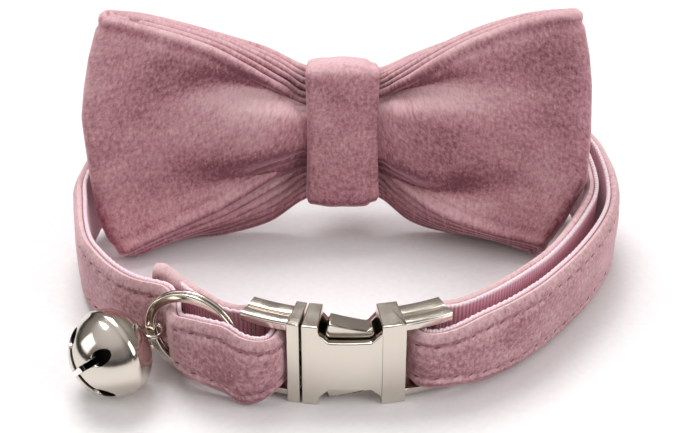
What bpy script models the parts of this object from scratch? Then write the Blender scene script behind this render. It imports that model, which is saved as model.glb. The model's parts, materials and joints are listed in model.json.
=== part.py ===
"""Cat collar: a velvet strap backed with webbing, a curved side-release buckle,
a split ring with a round bell, and a velvet bow tie on the back of the loop.

The collar stands on the lower edge of its strap. +X points along the buckle to
the right, +Y points from the buckle to the bow and +Z points up. The origin is
on the floor below the middle of the collar. Lengths in the tables are
millimetres; MM turns them into metres.
"""

import math

import bmesh
import bpy
from mathutils import Matrix, Vector

MM = 0.001
CLEAR = 0.3

# Strap
VELVET_WALL = 1.1
WEBBING_WALL = 0.9
STRAP_WIDTH = 12.6
STRAP_STEP = 3.4
STRAP_TURN_DEG = 22.0
EDGE_ROUND = 0.5
WEAVE_ROUND = 0.15
STRAP_THICK = VELVET_WALL + CLEAR + WEBBING_WALL
STRAP_ABOVE_FLOOR = 0.4

# Loop: its depth from the buckle's front to the strap behind the bow, and the
# room between the bow's ends and the strap's middle line
LOOP_DEPTH = 54.9
LEFT_SIDE_ROOM = 1.1
RIGHT_SIDE_ROOM = 4.4

# Buckle, drawn straight along X and then bent round a vertical axis
BEND_RADIUS = 35.0
BEND_STEP = 2.0
BUCKLE_THICK = 5.9
BUCKLE_HEIGHT = 14.3
PLATE_WALL = 1.15
FEMALE_LEFT = -6.7
LEFT_BLOCK_WIDTH = 2.5
NOTCH_WIDTH = 9.3
RIGHT_BLOCK_WIDTH = 3.6
NOTCH_DEPTH = 2.8
NOTCH_SLOPE = 1.5
BLOCK_WALL = 1.1
MALE_BASE_WIDTH = 1.95
ARM_LENGTH = 7.6
ARM_HEIGHT = 1.2
ARM_INSET = 0.6
ARM_THICK = 4.6
BAR_RADIUS = 1.0
BAR_TO_ARM_END = 2.1
ARM_ROOT = 0.5
WRAP_ROOM = 1.3
SLOT_SIDE_ROOM = 0.37

# Release levers
LEVER_PIVOT_X = -7.0
LEVER_PIVOT_RISE = 2.55
PIN_RADIUS = 0.5
PIN_ROOT = 0.4
EYE_RADIUS = 1.1
EYE_THICK = 1.8
SHOULDER_X = -3.2
SHOULDER_RISE = 6.75
LEVER_TIP_X = 4.4
LEVER_TIP_RISE = 5.2
LEVER_BASE_RISE = 2.5
LEVER_NOSE_RISE = 1.3
LEVER_NOSE_LENGTH = 1.2
LEVER_NECK_BELOW = 0.5
LEVER_NECK_ABOVE = 0.95
SHOULDER_HEIGHT = 1.0
SHOULDER_ROUND = 0.5
CARRIER_WALL = 0.8
TONGUE_END_X = -1.0
TONGUE_HEIGHT = 1.1

# Split ring
RING_RADIUS = 7.8
RING_RADIAL = 1.5
RING_TURN_THICK = 0.65
RING_TURN_GAP = 0.15
RING_TURNS = 1.9
RING_SIDES = 26
RING_FROM_ARMS = 6.15
RING_SETBACK = 6.8
RING_YAW_DEG = -21.7
RING_ABOVE_FLOOR = 0.1

# Strap's pass through the ring
PASS_OFFSET_BEFORE = 2.9
PASS_OFFSET_BEHIND = 3.65
PASS_STEEPNESS = 0.5
PASS_REACH = 6.6
PASS_NARROW = 0.4
PASS_OPENING_SHARE = 0.825
PASS_END_SHARE = 0.98
PASS_RISE = 0.5

# Bell
BELL_RADIUS = 6.8
BELL_CAP_HEIGHT = 5.0
BELL_WALL = 0.5
BELL_LIP = 0.9
BELL_LIP_PROUD = 0.2
BELL_SIDES = 24
SLOT_WIDTH = 0.9
SLOT_HOLE_RADIUS = 1.15
SLOT_REACH = 4.6
EYE_HOLE_RADIUS = 1.35
EYE_WIRE = 0.75
EYE_STEM_RADIUS = 0.7
BELL_EYE_DISTANCE = 7.3
BELL_YAW_DEG = 45.0
PELLET_RADIUS = 1.6

# Bow, drawn in its own frame: x across, u up the bow, n out of its front
BOW_SHIFT = -0.6
BOW_STAND_SHARE = 0.844
BOW_LEAN_DEG = 15.0
BOW_WALL = 1.5
BOW_DEPTH = 6.8
BOW_HALF_HEIGHT = 22.4
LEFT_REACH = 42.6
RIGHT_REACH = 39.6
CREASE_DEPTH = 1.0
CREASE_SHARE = 0.76
CREASE_FADE_X = 26.0
KNOT_WIDTH = 12.2
KNOT_WALL = 1.3
KNOT_ROOM = 0.3
KNOT_FLARE_ROOM = 0.2
KNOT_PINCH_SHARE = 0.445
PINCH_GAP = 1.5
KNOT_PUFF = 0.6
KNOT_CORNER_POINTS = 5
KEEPER_WIDTH = 8.0
KEEPER_WALL = 0.9
KEEPER_CORNER_POINTS = 4

# Slide behind the bow
SLIDE_ALONG = 0.682
SLIDE_BACK = 1.022
SLIDE_RISE = 0.609
SLIDE_LEAN_DEG = 10.0
SLIDE_WIDTH = 5.0
SLIDE_WALL = 0.7
SLIDE_ROOM = 0.25

HALF_HEIGHT = BUCKLE_HEIGHT / 2
NOTCH_LEFT = FEMALE_LEFT + LEFT_BLOCK_WIDTH
NOTCH_RIGHT = NOTCH_LEFT + NOTCH_WIDTH
FEMALE_RIGHT = NOTCH_RIGHT + RIGHT_BLOCK_WIDTH
MALE_RIGHT = FEMALE_LEFT - CLEAR
MALE_LEFT = MALE_RIGHT - MALE_BASE_WIDTH
ARM_MIDDLE_Y = BUCKLE_THICK / 2
BAR_RISE = ARM_LENGTH - BAR_TO_ARM_END
WRAP_REACH = BAR_RADIUS + WRAP_ROOM + STRAP_THICK / 2
SLOT_STRAP_WIDTH = BUCKLE_HEIGHT - 2 * (ARM_INSET + ARM_HEIGHT + SLOT_SIDE_ROOM)
RING_MIDDLE = RING_RADIUS - RING_RADIAL / 2
RING_HEIGHT = RING_RADIUS + RING_ABOVE_FLOOR
RING_PLACE = (MALE_LEFT - ARM_LENGTH - RING_FROM_ARMS, RING_SETBACK)
PASS_WIDTH_SHARE = PASS_OPENING_SHARE * 2 * (RING_RADIUS - RING_RADIAL) / STRAP_WIDTH
PINCH_DEPTH = (PINCH_GAP + BOW_WALL) / 2
KNOT_SIDE = KNOT_WIDTH / 2 + KNOT_FLARE_ROOM
KNOT_HOLE_DEPTH = PINCH_GAP + 2 * BOW_WALL + 2 * KNOT_ROOM
KNOT_HOLE_HEIGHT = 2 * (BOW_HALF_HEIGHT * KNOT_PINCH_SHARE + KNOT_ROOM)
KEEPER_DEPTH = (KNOT_HOLE_DEPTH / 2 + KNOT_WALL + KNOT_PUFF + CLEAR + KEEPER_WALL + CLEAR
                + STRAP_THICK / 2)
BOW_LEAN = math.radians(BOW_LEAN_DEG)
BOW_PLACE = (BOW_SHIFT, LOOP_DEPTH - KEEPER_DEPTH * math.cos(BOW_LEAN),
             BOW_HALF_HEIGHT * BOW_STAND_SHARE)
LEFT_LOOP = LEFT_REACH + LEFT_SIDE_ROOM
RIGHT_LOOP = RIGHT_REACH + RIGHT_SIDE_ROOM
LOW_RUN = STRAP_WIDTH / 2 + STRAP_ABOVE_FLOOR
HIGH_RUN = BOW_PLACE[2] - KEEPER_DEPTH * math.sin(BOW_LEAN)
SLIDE_PLACE = (RIGHT_LOOP * SLIDE_ALONG, LOOP_DEPTH * SLIDE_BACK,
               LOW_RUN + (HIGH_RUN - LOW_RUN) * SLIDE_RISE)

# The strap's middle line, in the order in which the strap is sewn. Leans tip its
# top edge to its velvet side, in degrees. The velvet faces out on the outer run
# and in on what is folded back.
# Columns of the runs: x as a share of the loop's reach on that side, y as a share
# of LOOP_DEPTH, rise from the low run to the strap behind the bow, lean, width
# share. Columns of the wraps round the end bars: x away from the buckle and y as
# shares of WRAP_REACH from the bar, height as a share of HALF_HEIGHT, lean, and how
# far the strap is squeezed into the slot.
FOLD_BACK_END = [
    (0.581, 0.295, 0.03, 0.0, 0.98),
    (0.535, 0.253, 0.03, 0.0, 0.98),
    (0.485, 0.211, 0.03, 0.0, 0.95),
    (0.426, 0.173, 0.04, 0.0, 0.86),
]
LEFT_SLOT_LOOP = [
    (0.91, 0.89, 1.00, 0.0, 1.0),
    (0.10, 0.89, 1.00, 0.0, 1.0),
    (-0.54, 0.63, 1.00, 0.0, 1.0),
    (-0.86, -0.04, 1.00, 0.0, 1.0),
    (-0.83, -0.77, 1.00, 0.0, 1.0),
    (-0.48, -1.37, 0.98, 0.0, 0.95),
    (0.10, -1.63, 0.94, 0.0, 0.48),
    (0.74, -1.47, 0.91, 0.0, 0.10),
]
LEFT_SIDE = [
    (0.730, 0.259, 0.03, 0.0, 0.97),
    (0.808, 0.310, 0.01, 0.0, 1.0),
    (0.876, 0.379, 0.0, 0.0, 1.0),
    (0.934, 0.455, 0.0, 0.0, 1.0),
    (0.968, 0.546, 0.0, 0.0, 1.0),
    (0.991, 0.656, 0.01, 0.5, 1.0),
    (1.000, 0.765, 0.09, 2.0, 1.0),
    (0.943, 0.874, 0.26, 5.0, 1.0),
    (0.801, 0.947, 0.49, 9.0, 1.0),
    (0.572, 0.976, 0.73, 13.0, 1.0),
    (0.343, 0.996, 0.90, 15.0, 1.0),
]
RIGHT_BACK = [
    (0.307, 1.007, 0.88, 14.0, 1.0),
    (0.466, 1.020, 0.73, 12.0, 1.0),
]
RIGHT_SIDE = [
    (0.873, 0.987, 0.43, 8.0, 1.0),
    (0.955, 0.922, 0.28, 5.5, 1.0),
    (0.993, 0.834, 0.13, 3.0, 1.0),
    (1.000, 0.732, 0.03, 1.0, 1.0),
    (0.980, 0.638, 0.0, 0.0, 1.0),
    (0.923, 0.528, 0.0, 0.0, 1.0),
    (0.827, 0.399, 0.0, 0.0, 1.0),
    (0.718, 0.284, 0.0, 0.0, 1.0),
    (0.641, 0.215, 0.01, 0.0, 1.0),
    (0.550, 0.148, 0.02, 0.0, 1.0),
    (0.445, 0.089, 0.03, 0.0, 0.96),
]
RIGHT_SLOT_LOOP = [
    (1.03, -0.74, 1.00, 0.0, 0.76),
    (0.22, -1.00, 1.00, 0.0, 1.0),
    (-0.42, -0.97, 1.00, 0.0, 1.0),
    (-0.78, -0.54, 1.00, 0.0, 1.0),
    (-0.80, 0.10, 1.00, 0.0, 1.0),
    (-0.48, 0.74, 1.00, 0.0, 1.0),
    (0.22, 1.03, 1.00, 0.0, 1.0),
    (1.26, 1.17, 1.00, 0.0, 0.76),
]
RETURN_RUN = [
    (0.500, 0.222, 0.04, 0.0, 0.96),
    (0.614, 0.302, 0.03, 0.0, 1.0),
    (0.700, 0.381, 0.02, 0.0, 1.0),
    (0.786, 0.485, 0.01, 0.0, 1.0),
    (0.864, 0.601, 0.0, 0.0, 1.0),
    (0.916, 0.703, 0.02, -0.5, 1.0),
    (0.925, 0.794, 0.09, -2.0, 1.0),
    (0.895, 0.882, 0.26, -5.0, 1.0),
    (0.839, 0.936, 0.45, -8.0, 1.0),
]

# The bow's band from the middle of its front, out to a tip and back to the
# middle of its back. Columns: where it is between the knot's side and the lobe's
# reach, depth inside the knot as a share of PINCH_DEPTH, depth outside it as a
# share of BOW_DEPTH, top and foot as shares of BOW_HALF_HEIGHT, crease weight
BOW_SECTIONS = [
    (-1.0, 1.00, 0.0, 0.30, -0.25, 0.0),
    (0.000, 1.03, 0.0, 0.31, -0.26, 0.0),
    (0.105, 0.0, 0.426, 0.40, -0.34, 1.0),
    (0.246, 0.0, 0.618, 0.51, -0.45, 1.0),
    (0.411, 0.0, 0.735, 0.64, -0.57, 0.8),
    (0.600, 0.0, 0.779, 0.78, -0.70, 0.4),
    (0.788, 0.0, 0.868, 0.91, -0.80, 0.0),
    (0.918, 0.0, 1.000, 0.97, -0.85, 0.0),
    (0.977, 0.0, 0.985, 0.985, -0.865, 0.0),
    (1.000, 0.0, 0.794, 0.99, -0.87, 0.0),
    (0.977, 0.0, 0.603, 0.99, -0.875, 0.0),
    (0.918, 0.0, 0.529, 0.985, -0.875, 0.0),
    (0.788, 0.0, 0.162, 0.97, -0.87, 0.0),
    (0.600, 0.0, -0.176, 0.90, -0.85, 0.0),
    (0.411, 0.0, -0.324, 0.80, -0.80, 0.0),
    (0.175, 0.0, -0.353, 0.64, -0.67, 0.0),
    (0.000, -1.03, 0.0, KNOT_PINCH_SHARE, -KNOT_PINCH_SHARE, 0.0),
    (-1.0, -1.00, 0.0, 0.44, -0.44, 0.0),
]
# How far the lobe reaches at each height. Columns: height share, reach share
TIP_OUTLINE = [
    (-1.0, 0.865),
    (-0.6, 0.940),
    (-0.3, 0.952),
    (0.0, 1.000),
    (0.3, 1.000),
    (0.7, 0.970),
    (1.0, 0.915),
]
BOW_ROWS = [-1.0, -0.9, -0.76, -0.62, -0.3, 0.0, 0.3, 0.62, 0.76, 0.9, 1.0]


def clear_scene():
    """Remove what the new file brings along."""
    for item in list(bpy.data.objects):
        bpy.data.objects.remove(item, do_unlink=True)


def make_material(name, colour, metallic, roughness):
    """Return a Principled material."""
    material = bpy.data.materials.new(name)
    material.use_nodes = True
    shader = material.node_tree.nodes["Principled BSDF"]
    shader.inputs["Base Color"].default_value = (*colour, 1.0)
    shader.inputs["Metallic"].default_value = metallic
    shader.inputs["Roughness"].default_value = roughness
    return material


def add_frame(name, location, rotation, parent=None):
    """Return an empty that carries pieces; location in millimetres."""
    frame = bpy.data.objects.new(name, None)
    frame.empty_display_size = 0.005
    frame.location = Vector(location) * MM
    frame.rotation_euler = rotation
    frame.parent = parent
    bpy.context.scene.collection.objects.link(frame)
    return frame


def add_piece(name, shape, material, parent, smooth_deg=None):
    """Turn a bmesh in millimetres into a named object in metres."""
    bmesh.ops.scale(shape, vec=(MM, MM, MM), verts=shape.verts)
    bmesh.ops.triangulate(shape, faces=shape.faces)
    bmesh.ops.recalc_face_normals(shape, faces=shape.faces)
    mesh = bpy.data.meshes.new(name)
    shape.to_mesh(mesh)
    shape.free()
    mesh.materials.append(material)
    if smooth_deg is not None:
        mesh.shade_smooth()
        mesh.set_sharp_from_angle(angle=math.radians(smooth_deg))
    piece = bpy.data.objects.new(name, mesh)
    piece.parent = parent
    bpy.context.scene.collection.objects.link(piece)
    return piece


def temporary_object(shape):
    """Return an unnamed object that holds a copy of the shape."""
    mesh = bpy.data.meshes.new("temporary")
    shape.to_mesh(mesh)
    item = bpy.data.objects.new("temporary", mesh)
    bpy.context.scene.collection.objects.link(item)
    return item


def combine(body, tool, operation):
    """Return the Boolean of two shapes and free both."""
    body_object = temporary_object(body)
    tool_object = temporary_object(tool)
    modifier = body_object.modifiers.new("combine", 'BOOLEAN')
    modifier.operation = operation
    modifier.object = tool_object
    bpy.context.view_layer.update()
    evaluated = body_object.evaluated_get(bpy.context.evaluated_depsgraph_get())
    result = bmesh.new()
    result.from_mesh(evaluated.data)
    for item in (body_object, tool_object):
        bpy.data.objects.remove(item, do_unlink=True)
    body.free()
    tool.free()
    return result


def box(x_range, y_range, z_range):
    """Return a box between the given limits."""
    shape = bmesh.new()
    bmesh.ops.create_cube(shape, size=1.0)
    for vert in shape.verts:
        for axis, limits in enumerate((x_range, y_range, z_range)):
            vert.co[axis] = limits[0] if vert.co[axis] < 0 else limits[1]
    return shape


def cylinder(radius, length, sides, matrix):
    """Return a cylinder centred on the matrix, along its Z axis."""
    shape = bmesh.new()
    bmesh.ops.create_cone(shape, cap_ends=True, segments=sides, radius1=radius,
                          radius2=radius, depth=length, matrix=matrix)
    return shape


def plate(outline, y_front, y_back):
    """Return an outline in X and Z, made solid between two depths."""
    shape = bmesh.new()
    front = [shape.verts.new((x, y_front, z)) for x, z in outline]
    back = [shape.verts.new((x, y_back, z)) for x, z in outline]
    shape.faces.new(front)
    shape.faces.new(back[::-1])
    for index, vert in enumerate(front):
        after = (index + 1) % len(front)
        shape.faces.new((vert, back[index], back[after], front[after]))
    bmesh.ops.recalc_face_normals(shape, faces=shape.faces)
    return shape


def bent_point(x, y, z):
    """Wrap a point of the straight buckle round the bend's axis."""
    angle = x / BEND_RADIUS
    radius = BEND_RADIUS - y
    return Vector((radius * math.sin(angle), BEND_RADIUS - radius * math.cos(angle), z))


def bend(shape):
    """Bend a straight buckle piece, cut first so that it can curve."""
    low = min(vert.co.x for vert in shape.verts)
    high = max(vert.co.x for vert in shape.verts)
    count = int((high - low) / BEND_STEP)
    for index in range(1, count + 1):
        cut = low + index * (high - low) / (count + 1)
        parts = shape.verts[:] + shape.edges[:] + shape.faces[:]
        bmesh.ops.bisect_plane(shape, geom=parts, plane_co=(cut, 0, 0), plane_no=(1, 0, 0))
    bmesh.ops.triangulate(shape, faces=shape.faces)
    for vert in shape.verts:
        vert.co = bent_point(*vert.co)
    return shape


def mirrored_rise(z):
    """Return the same height seen from the other side of the buckle's middle."""
    return BUCKLE_HEIGHT - z


def add_arms(body, side):
    """Join the two arms and the end bar that holds the strap to a buckle half."""
    root = FEMALE_RIGHT if side > 0 else -MALE_LEFT
    end = root + ARM_LENGTH
    low = ARM_MIDDLE_Y - ARM_THICK / 2
    high = ARM_MIDDLE_Y + ARM_THICK / 2
    x_range = sorted((side * (root - ARM_ROOT), side * end))
    for foot in (ARM_INSET, mirrored_rise(ARM_INSET + ARM_HEIGHT)):
        body = combine(body, box(x_range, (low, high), (foot, foot + ARM_HEIGHT)), 'UNION')
    bar_x = side * (end - BAR_TO_ARM_END)
    centre = Matrix.Translation((bar_x, ARM_MIDDLE_Y, HALF_HEIGHT))
    length = BUCKLE_HEIGHT - 2 * ARM_INSET - ARM_HEIGHT
    return combine(body, cylinder(BAR_RADIUS, length, 12, centre), 'UNION')


def buckle_female(material, parent):
    """Make the half that takes the prongs: a notched box with a slot to the left."""
    top = BUCKLE_HEIGHT
    floor = NOTCH_DEPTH
    step = NOTCH_DEPTH - NOTCH_SLOPE
    lower_half = [
        (FEMALE_LEFT, 0.0),
        (NOTCH_LEFT, 0.0),
        (NOTCH_LEFT, step),
        (NOTCH_LEFT + NOTCH_SLOPE, floor),
        (NOTCH_RIGHT - NOTCH_SLOPE, floor),
        (NOTCH_RIGHT, step),
        (NOTCH_RIGHT, 0.0),
        (FEMALE_RIGHT, 0.0),
    ]
    upper_half = [(x, top - z) for x, z in reversed(lower_half)]
    body = plate(lower_half + upper_half, 0.0, BUCKLE_THICK)
    cavity = box((FEMALE_LEFT - 1.0, NOTCH_RIGHT), (PLATE_WALL, BUCKLE_THICK - PLATE_WALL),
                 (BLOCK_WALL, mirrored_rise(BLOCK_WALL)))
    body = combine(body, cavity, 'DIFFERENCE')
    body = add_arms(body, 1)
    return add_piece("buckle_female", bend(body), material, parent, 30)


def eye_depths():
    """Return the front and back of a lever's eye."""
    front = PLATE_WALL + CLEAR
    return front, front + EYE_THICK


def buckle_male(material, parent):
    """Make the half with the prongs' carrier, its pins, arms and end bar."""
    body = box((MALE_LEFT, MALE_RIGHT), (0.0, BUCKLE_THICK), (0.0, BUCKLE_HEIGHT))
    eye_front, eye_back = eye_depths()
    pocket_left = LEVER_PIVOT_X - EYE_RADIUS - CLEAR
    for side in (-1, 1):
        middle = HALF_HEIGHT + side * LEVER_PIVOT_RISE
        reach = EYE_RADIUS + CLEAR
        pocket = box((pocket_left, MALE_RIGHT + 1.0), (eye_front - CLEAR, eye_back + CLEAR),
                     (middle - reach, middle + reach))
        body = combine(body, pocket, 'DIFFERENCE')
    carrier_front = eye_back + CLEAR
    carrier_back = carrier_front + CARRIER_WALL
    half_carrier = LEVER_PIVOT_RISE + EYE_RADIUS
    carrier = box((pocket_left - CLEAR, LEVER_PIVOT_X + EYE_RADIUS), (carrier_front, carrier_back),
                  (HALF_HEIGHT - half_carrier, HALF_HEIGHT + half_carrier))
    body = combine(body, carrier, 'UNION')
    tongue = box((LEVER_PIVOT_X, TONGUE_END_X), (carrier_front, carrier_back),
                 (HALF_HEIGHT - TONGUE_HEIGHT / 2, HALF_HEIGHT + TONGUE_HEIGHT / 2))
    body = combine(body, tongue, 'UNION')
    pin_length = EYE_THICK + CLEAR + PIN_ROOT
    for side in (-1, 1):
        centre = Vector((LEVER_PIVOT_X, eye_front + pin_length / 2,
                         HALF_HEIGHT + side * LEVER_PIVOT_RISE))
        turn = Matrix.Translation(centre) @ Matrix.Rotation(math.pi / 2, 4, 'X')
        body = combine(body, cylinder(PIN_RADIUS, pin_length, 12, turn), 'UNION')
    body = add_arms(body, -1)
    return add_piece("buckle_male", bend(body), material, parent, 30)


def lever_outline():
    """Return the upper lever's side in X and height above the buckle's middle."""
    points = []
    for step in range(9):
        angle = math.radians(60 + step * 30)
        points.append((LEVER_PIVOT_X + EYE_RADIUS * math.cos(angle),
                       LEVER_PIVOT_RISE + EYE_RADIUS * math.sin(angle)))
    neck_low = LEVER_PIVOT_RISE - LEVER_NECK_BELOW
    neck_high = LEVER_PIVOT_RISE + LEVER_NECK_ABOVE
    points += [
        (SHOULDER_X - SHOULDER_ROUND, neck_low),
        (LEVER_TIP_X - LEVER_NOSE_LENGTH, LEVER_BASE_RISE + LEVER_NOSE_RISE / 3),
        (LEVER_TIP_X, LEVER_BASE_RISE + LEVER_NOSE_RISE),
        (LEVER_TIP_X - CLEAR, LEVER_TIP_RISE),
        (SHOULDER_X + SHOULDER_ROUND, SHOULDER_RISE),
        (SHOULDER_X, SHOULDER_RISE - SHOULDER_HEIGHT),
        (SHOULDER_X - CLEAR, neck_high),
    ]
    return points


def release_lever(name, side, material, parent):
    """Make one sprung lever, with its eye on the male half's pin."""
    outline = [(x, HALF_HEIGHT + side * rise) for x, rise in lever_outline()]
    eye_front, eye_back = eye_depths()
    body = plate(outline, eye_front, eye_back)
    thumb = [point for point in outline if point[0] >= SHOULDER_X - 0.01]
    thumb.append((SHOULDER_X, HALF_HEIGHT + side * (LEVER_PIVOT_RISE - 0.2)))
    grip = plate(thumb, eye_front + 0.05, BUCKLE_THICK - PLATE_WALL - CLEAR)
    body = combine(body, grip, 'UNION')
    middle = HALF_HEIGHT + side * LEVER_PIVOT_RISE
    centre = Vector((LEVER_PIVOT_X, (eye_front + eye_back) / 2, middle))
    turn = Matrix.Translation(centre) @ Matrix.Rotation(math.pi / 2, 4, 'X')
    hole = cylinder(PIN_RADIUS + CLEAR, 2 * EYE_THICK, 12, turn)
    body = bend(combine(body, hole, 'DIFFERENCE'))
    pivot = bent_point(LEVER_PIVOT_X, ARM_MIDDLE_Y, middle)
    bmesh.ops.translate(body, vec=-pivot, verts=body.verts)
    frame = add_frame(f"{name}_pivot", pivot, (0, 0, 0), parent)
    return add_piece(name, body, material, frame, 30)


def ring_axes():
    """Return the directions along and across the split ring, seen from above."""
    yaw = math.radians(RING_YAW_DEG)
    along = Vector((math.cos(yaw), math.sin(yaw)))
    return along, Vector((-along.y, along.x))


def ring_pass():
    """Return the strap's stations where it passes from before the ring to behind it."""
    along, inward = ring_axes()
    rows = []
    for share in (1.0, 0.66, 0.34, 0.16, 0.0, -0.16, -0.34, -0.66, -1.0):
        run = share * PASS_REACH
        amount = PASS_OFFSET_BEFORE if run > 0 else PASS_OFFSET_BEHIND
        offset = -amount * math.tanh(PASS_STEEPNESS * run)
        place = Vector(RING_PLACE) + along * run + inward * offset
        widening = max(0.0, (abs(share) - PASS_NARROW) / (1 - PASS_NARROW))
        width = PASS_WIDTH_SHARE + (PASS_END_SHARE - PASS_WIDTH_SHARE) * widening
        rows.append((place.x, place.y, RING_HEIGHT - PASS_RISE * abs(share), 0.0, width))
    return rows


def catmull_rom(rows, index, share):
    """Read the smooth curve through the rows between two of them."""
    before = rows[max(index - 1, 0)]
    start = rows[index]
    end = rows[index + 1]
    after = rows[min(index + 2, len(rows) - 1)]
    values = []
    for p0, p1, p2, p3 in zip(before, start, end, after):
        straight = 2 * p1 + (p2 - p0) * share
        bend_2 = (2 * p0 - 5 * p1 + 4 * p2 - p3) * share ** 2
        bend_3 = (3 * p1 - p0 - 3 * p2 + p3) * share ** 3
        values.append(0.5 * (straight + bend_2 + bend_3))
    return values


def direction_turn(rows, index):
    """Return how far the path turns round a segment, in degrees."""
    points = [Vector(row[:2]) for row in rows[max(index - 1, 0):index + 3]]
    legs = [after - before for before, after in zip(points, points[1:])]
    if len(legs) < 2:
        return 0.0
    return max(math.degrees(first.angle(second)) for first, second in zip(legs, legs[1:]))


def sample_strap(rows):
    """Return stations along the strap: place, width direction, outward side, width."""
    samples = []
    for index in range(len(rows) - 1):
        length = (Vector(rows[index + 1][:2]) - Vector(rows[index][:2])).length
        count = max(math.ceil(length / STRAP_STEP),
                    math.ceil(direction_turn(rows, index) / STRAP_TURN_DEG))
        for step in range(count):
            samples.append(catmull_rom(rows, index, step / count))
    samples.append(list(rows[-1]))
    stations = []
    for index, sample in enumerate(samples):
        before = Vector(samples[max(index - 1, 0)][:2])
        after = Vector(samples[min(index + 1, len(samples) - 1)][:2])
        heading = (after - before).normalized()
        outward = Vector((-heading.y, heading.x, 0.0))
        lean = math.radians(sample[3])
        up = Vector((0, 0, math.cos(lean))) + outward * math.sin(lean)
        side = outward * math.cos(lean) - Vector((0, 0, math.sin(lean)))
        stations.append((Vector(sample[:3]), up, side, sample[4] * STRAP_WIDTH))
    return stations


def ribbon(stations, inner, outer, edge):
    """Return a closed wall along the stations, between two offsets to the outside."""
    shape = bmesh.new()
    rings = []
    for place, up, side, width in stations:
        half = width / 2
        section = [
            (inner, -half),
            (outer - edge, -half),
            (outer, -half + edge),
            (outer, half - edge),
            (outer - edge, half),
            (inner, half),
        ]
        rings.append([shape.verts.new(place + side * off + up * rise) for off, rise in section])
    for first, second in zip(rings, rings[1:]):
        for index, vert in enumerate(first):
            after = (index + 1) % len(first)
            shape.faces.new((vert, first[after], second[after], second[index]))
    shape.faces.new(rings[0][::-1])
    shape.faces.new(rings[-1])
    return shape


def slide_offset():
    """Return the distance between the two runs inside the slide."""
    return STRAP_THICK + 2 * SLIDE_ROOM + SLIDE_WALL


def run_rows(table, side):
    """Return a run's stations from its shares; side is 1 on the right and -1 on the left."""
    reach = RIGHT_LOOP if side > 0 else LEFT_LOOP
    return [(side * reach * x, LOOP_DEPTH * y, LOW_RUN + (HIGH_RUN - LOW_RUN) * rise, lean, width)
            for x, y, rise, lean, width in table]


def wrap_rows(table, side):
    """Return the stations of the wrap round an end bar from its shares."""
    root = FEMALE_RIGHT if side > 0 else -MALE_LEFT
    bar = bent_point(side * (root + BAR_RISE), ARM_MIDDLE_Y, HALF_HEIGHT)
    squeezed = SLOT_STRAP_WIDTH / STRAP_WIDTH
    return [(bar.x + side * WRAP_REACH * x, bar.y + WRAP_REACH * y, HALF_HEIGHT * height, lean,
             1.0 + (squeezed - 1.0) * squeeze)
            for x, y, height, lean, squeeze in table]


def keeper_rows():
    """Return the strap's straight stations inside the keeper on the bow's back."""
    return [(BOW_SHIFT + share * KEEPER_WIDTH, LOOP_DEPTH, HIGH_RUN, BOW_LEAN_DEG, 1.0)
            for share in (-0.85, 0.0, 0.85)]


def slide_rows(offset, heading):
    """Return a run's straight stations in the slide, at an offset to the loop's inside."""
    lean = math.radians(SLIDE_LEAN_DEG)
    x, y, height = SLIDE_PLACE
    y -= offset * math.cos(lean)
    height += offset * math.sin(lean)
    return [(x + heading * share * SLIDE_WIDTH, y, height, heading * SLIDE_LEAN_DEG, 1.0)
            for share in (-0.85, 0.0, 0.85)]


def strap_rows():
    """Return the whole strap's stations in sewing order."""
    left = (run_rows(FOLD_BACK_END, -1) + wrap_rows(LEFT_SLOT_LOOP, -1) + ring_pass()
            + run_rows(LEFT_SIDE, -1))
    right = (run_rows(RIGHT_BACK, 1) + slide_rows(0.0, 1) + run_rows(RIGHT_SIDE, 1)
             + wrap_rows(RIGHT_SLOT_LOOP, 1) + run_rows(RETURN_RUN, 1))
    return left + keeper_rows() + right + slide_rows(slide_offset(), -1)


def strap(velvet, webbing, parent):
    """Make the velvet and, 0.3 mm inside it, the webbing that lines it."""
    stations = sample_strap(strap_rows())
    half = STRAP_THICK / 2
    cover = ribbon(stations, half - VELVET_WALL, half, EDGE_ROUND)
    lining = ribbon(stations, -half, WEBBING_WALL - half, WEAVE_ROUND)
    add_piece("strap_velvet", cover, velvet, parent, 40)
    add_piece("strap_webbing", lining, webbing, parent, 40)


def split_ring(material, parent):
    """Make the ring as one flat wire that goes round almost twice."""
    shape = bmesh.new()
    pitch = RING_TURN_THICK + RING_TURN_GAP
    count = round(RING_SIDES * RING_TURNS)
    rings = []
    for step in range(count + 1):
        angle = 2 * math.pi * step / RING_SIDES
        drift = pitch * (step / RING_SIDES - RING_TURNS / 2)
        section = []
        for radial, axial in ((-1, -1), (1, -1), (1, 1), (-1, 1)):
            radius = RING_MIDDLE + radial * RING_RADIAL / 2
            section.append(shape.verts.new((radius * math.cos(angle),
                                            drift + axial * RING_TURN_THICK / 2,
                                            radius * math.sin(angle))))
        rings.append(section)
    for first, second in zip(rings, rings[1:]):
        for index in range(4):
            after = (index + 1) % 4
            shape.faces.new((first[index], first[after], second[after], second[index]))
    shape.faces.new(rings[0][::-1])
    shape.faces.new(rings[-1])
    place = (*RING_PLACE, RING_HEIGHT)
    frame = add_frame("split_ring_frame", place, (0, 0, math.radians(RING_YAW_DEG)), parent)
    return add_piece("split_ring", shape, material, frame, 40)


def bell_profile(inset):
    """Return the bell's outline from its slotted pole to its eye side."""
    radius = BELL_RADIUS - BELL_LIP_PROUD - inset
    points = []
    for step in range(8):
        angle = math.radians(90 * step / 8)
        points.append((-radius * math.cos(angle), radius * math.sin(angle)))
    lip = BELL_RADIUS - inset
    points.append((-BELL_LIP, radius * math.cos(math.asin(BELL_LIP / radius))))
    points.append((-BELL_LIP + 0.1, lip))
    points.append((0.0, lip))
    cap = BELL_CAP_HEIGHT - inset
    for step in range(1, 7):
        angle = math.radians(90 * step / 6)
        points.append((cap * math.sin(angle), lip * math.cos(angle)))
    return points


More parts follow.
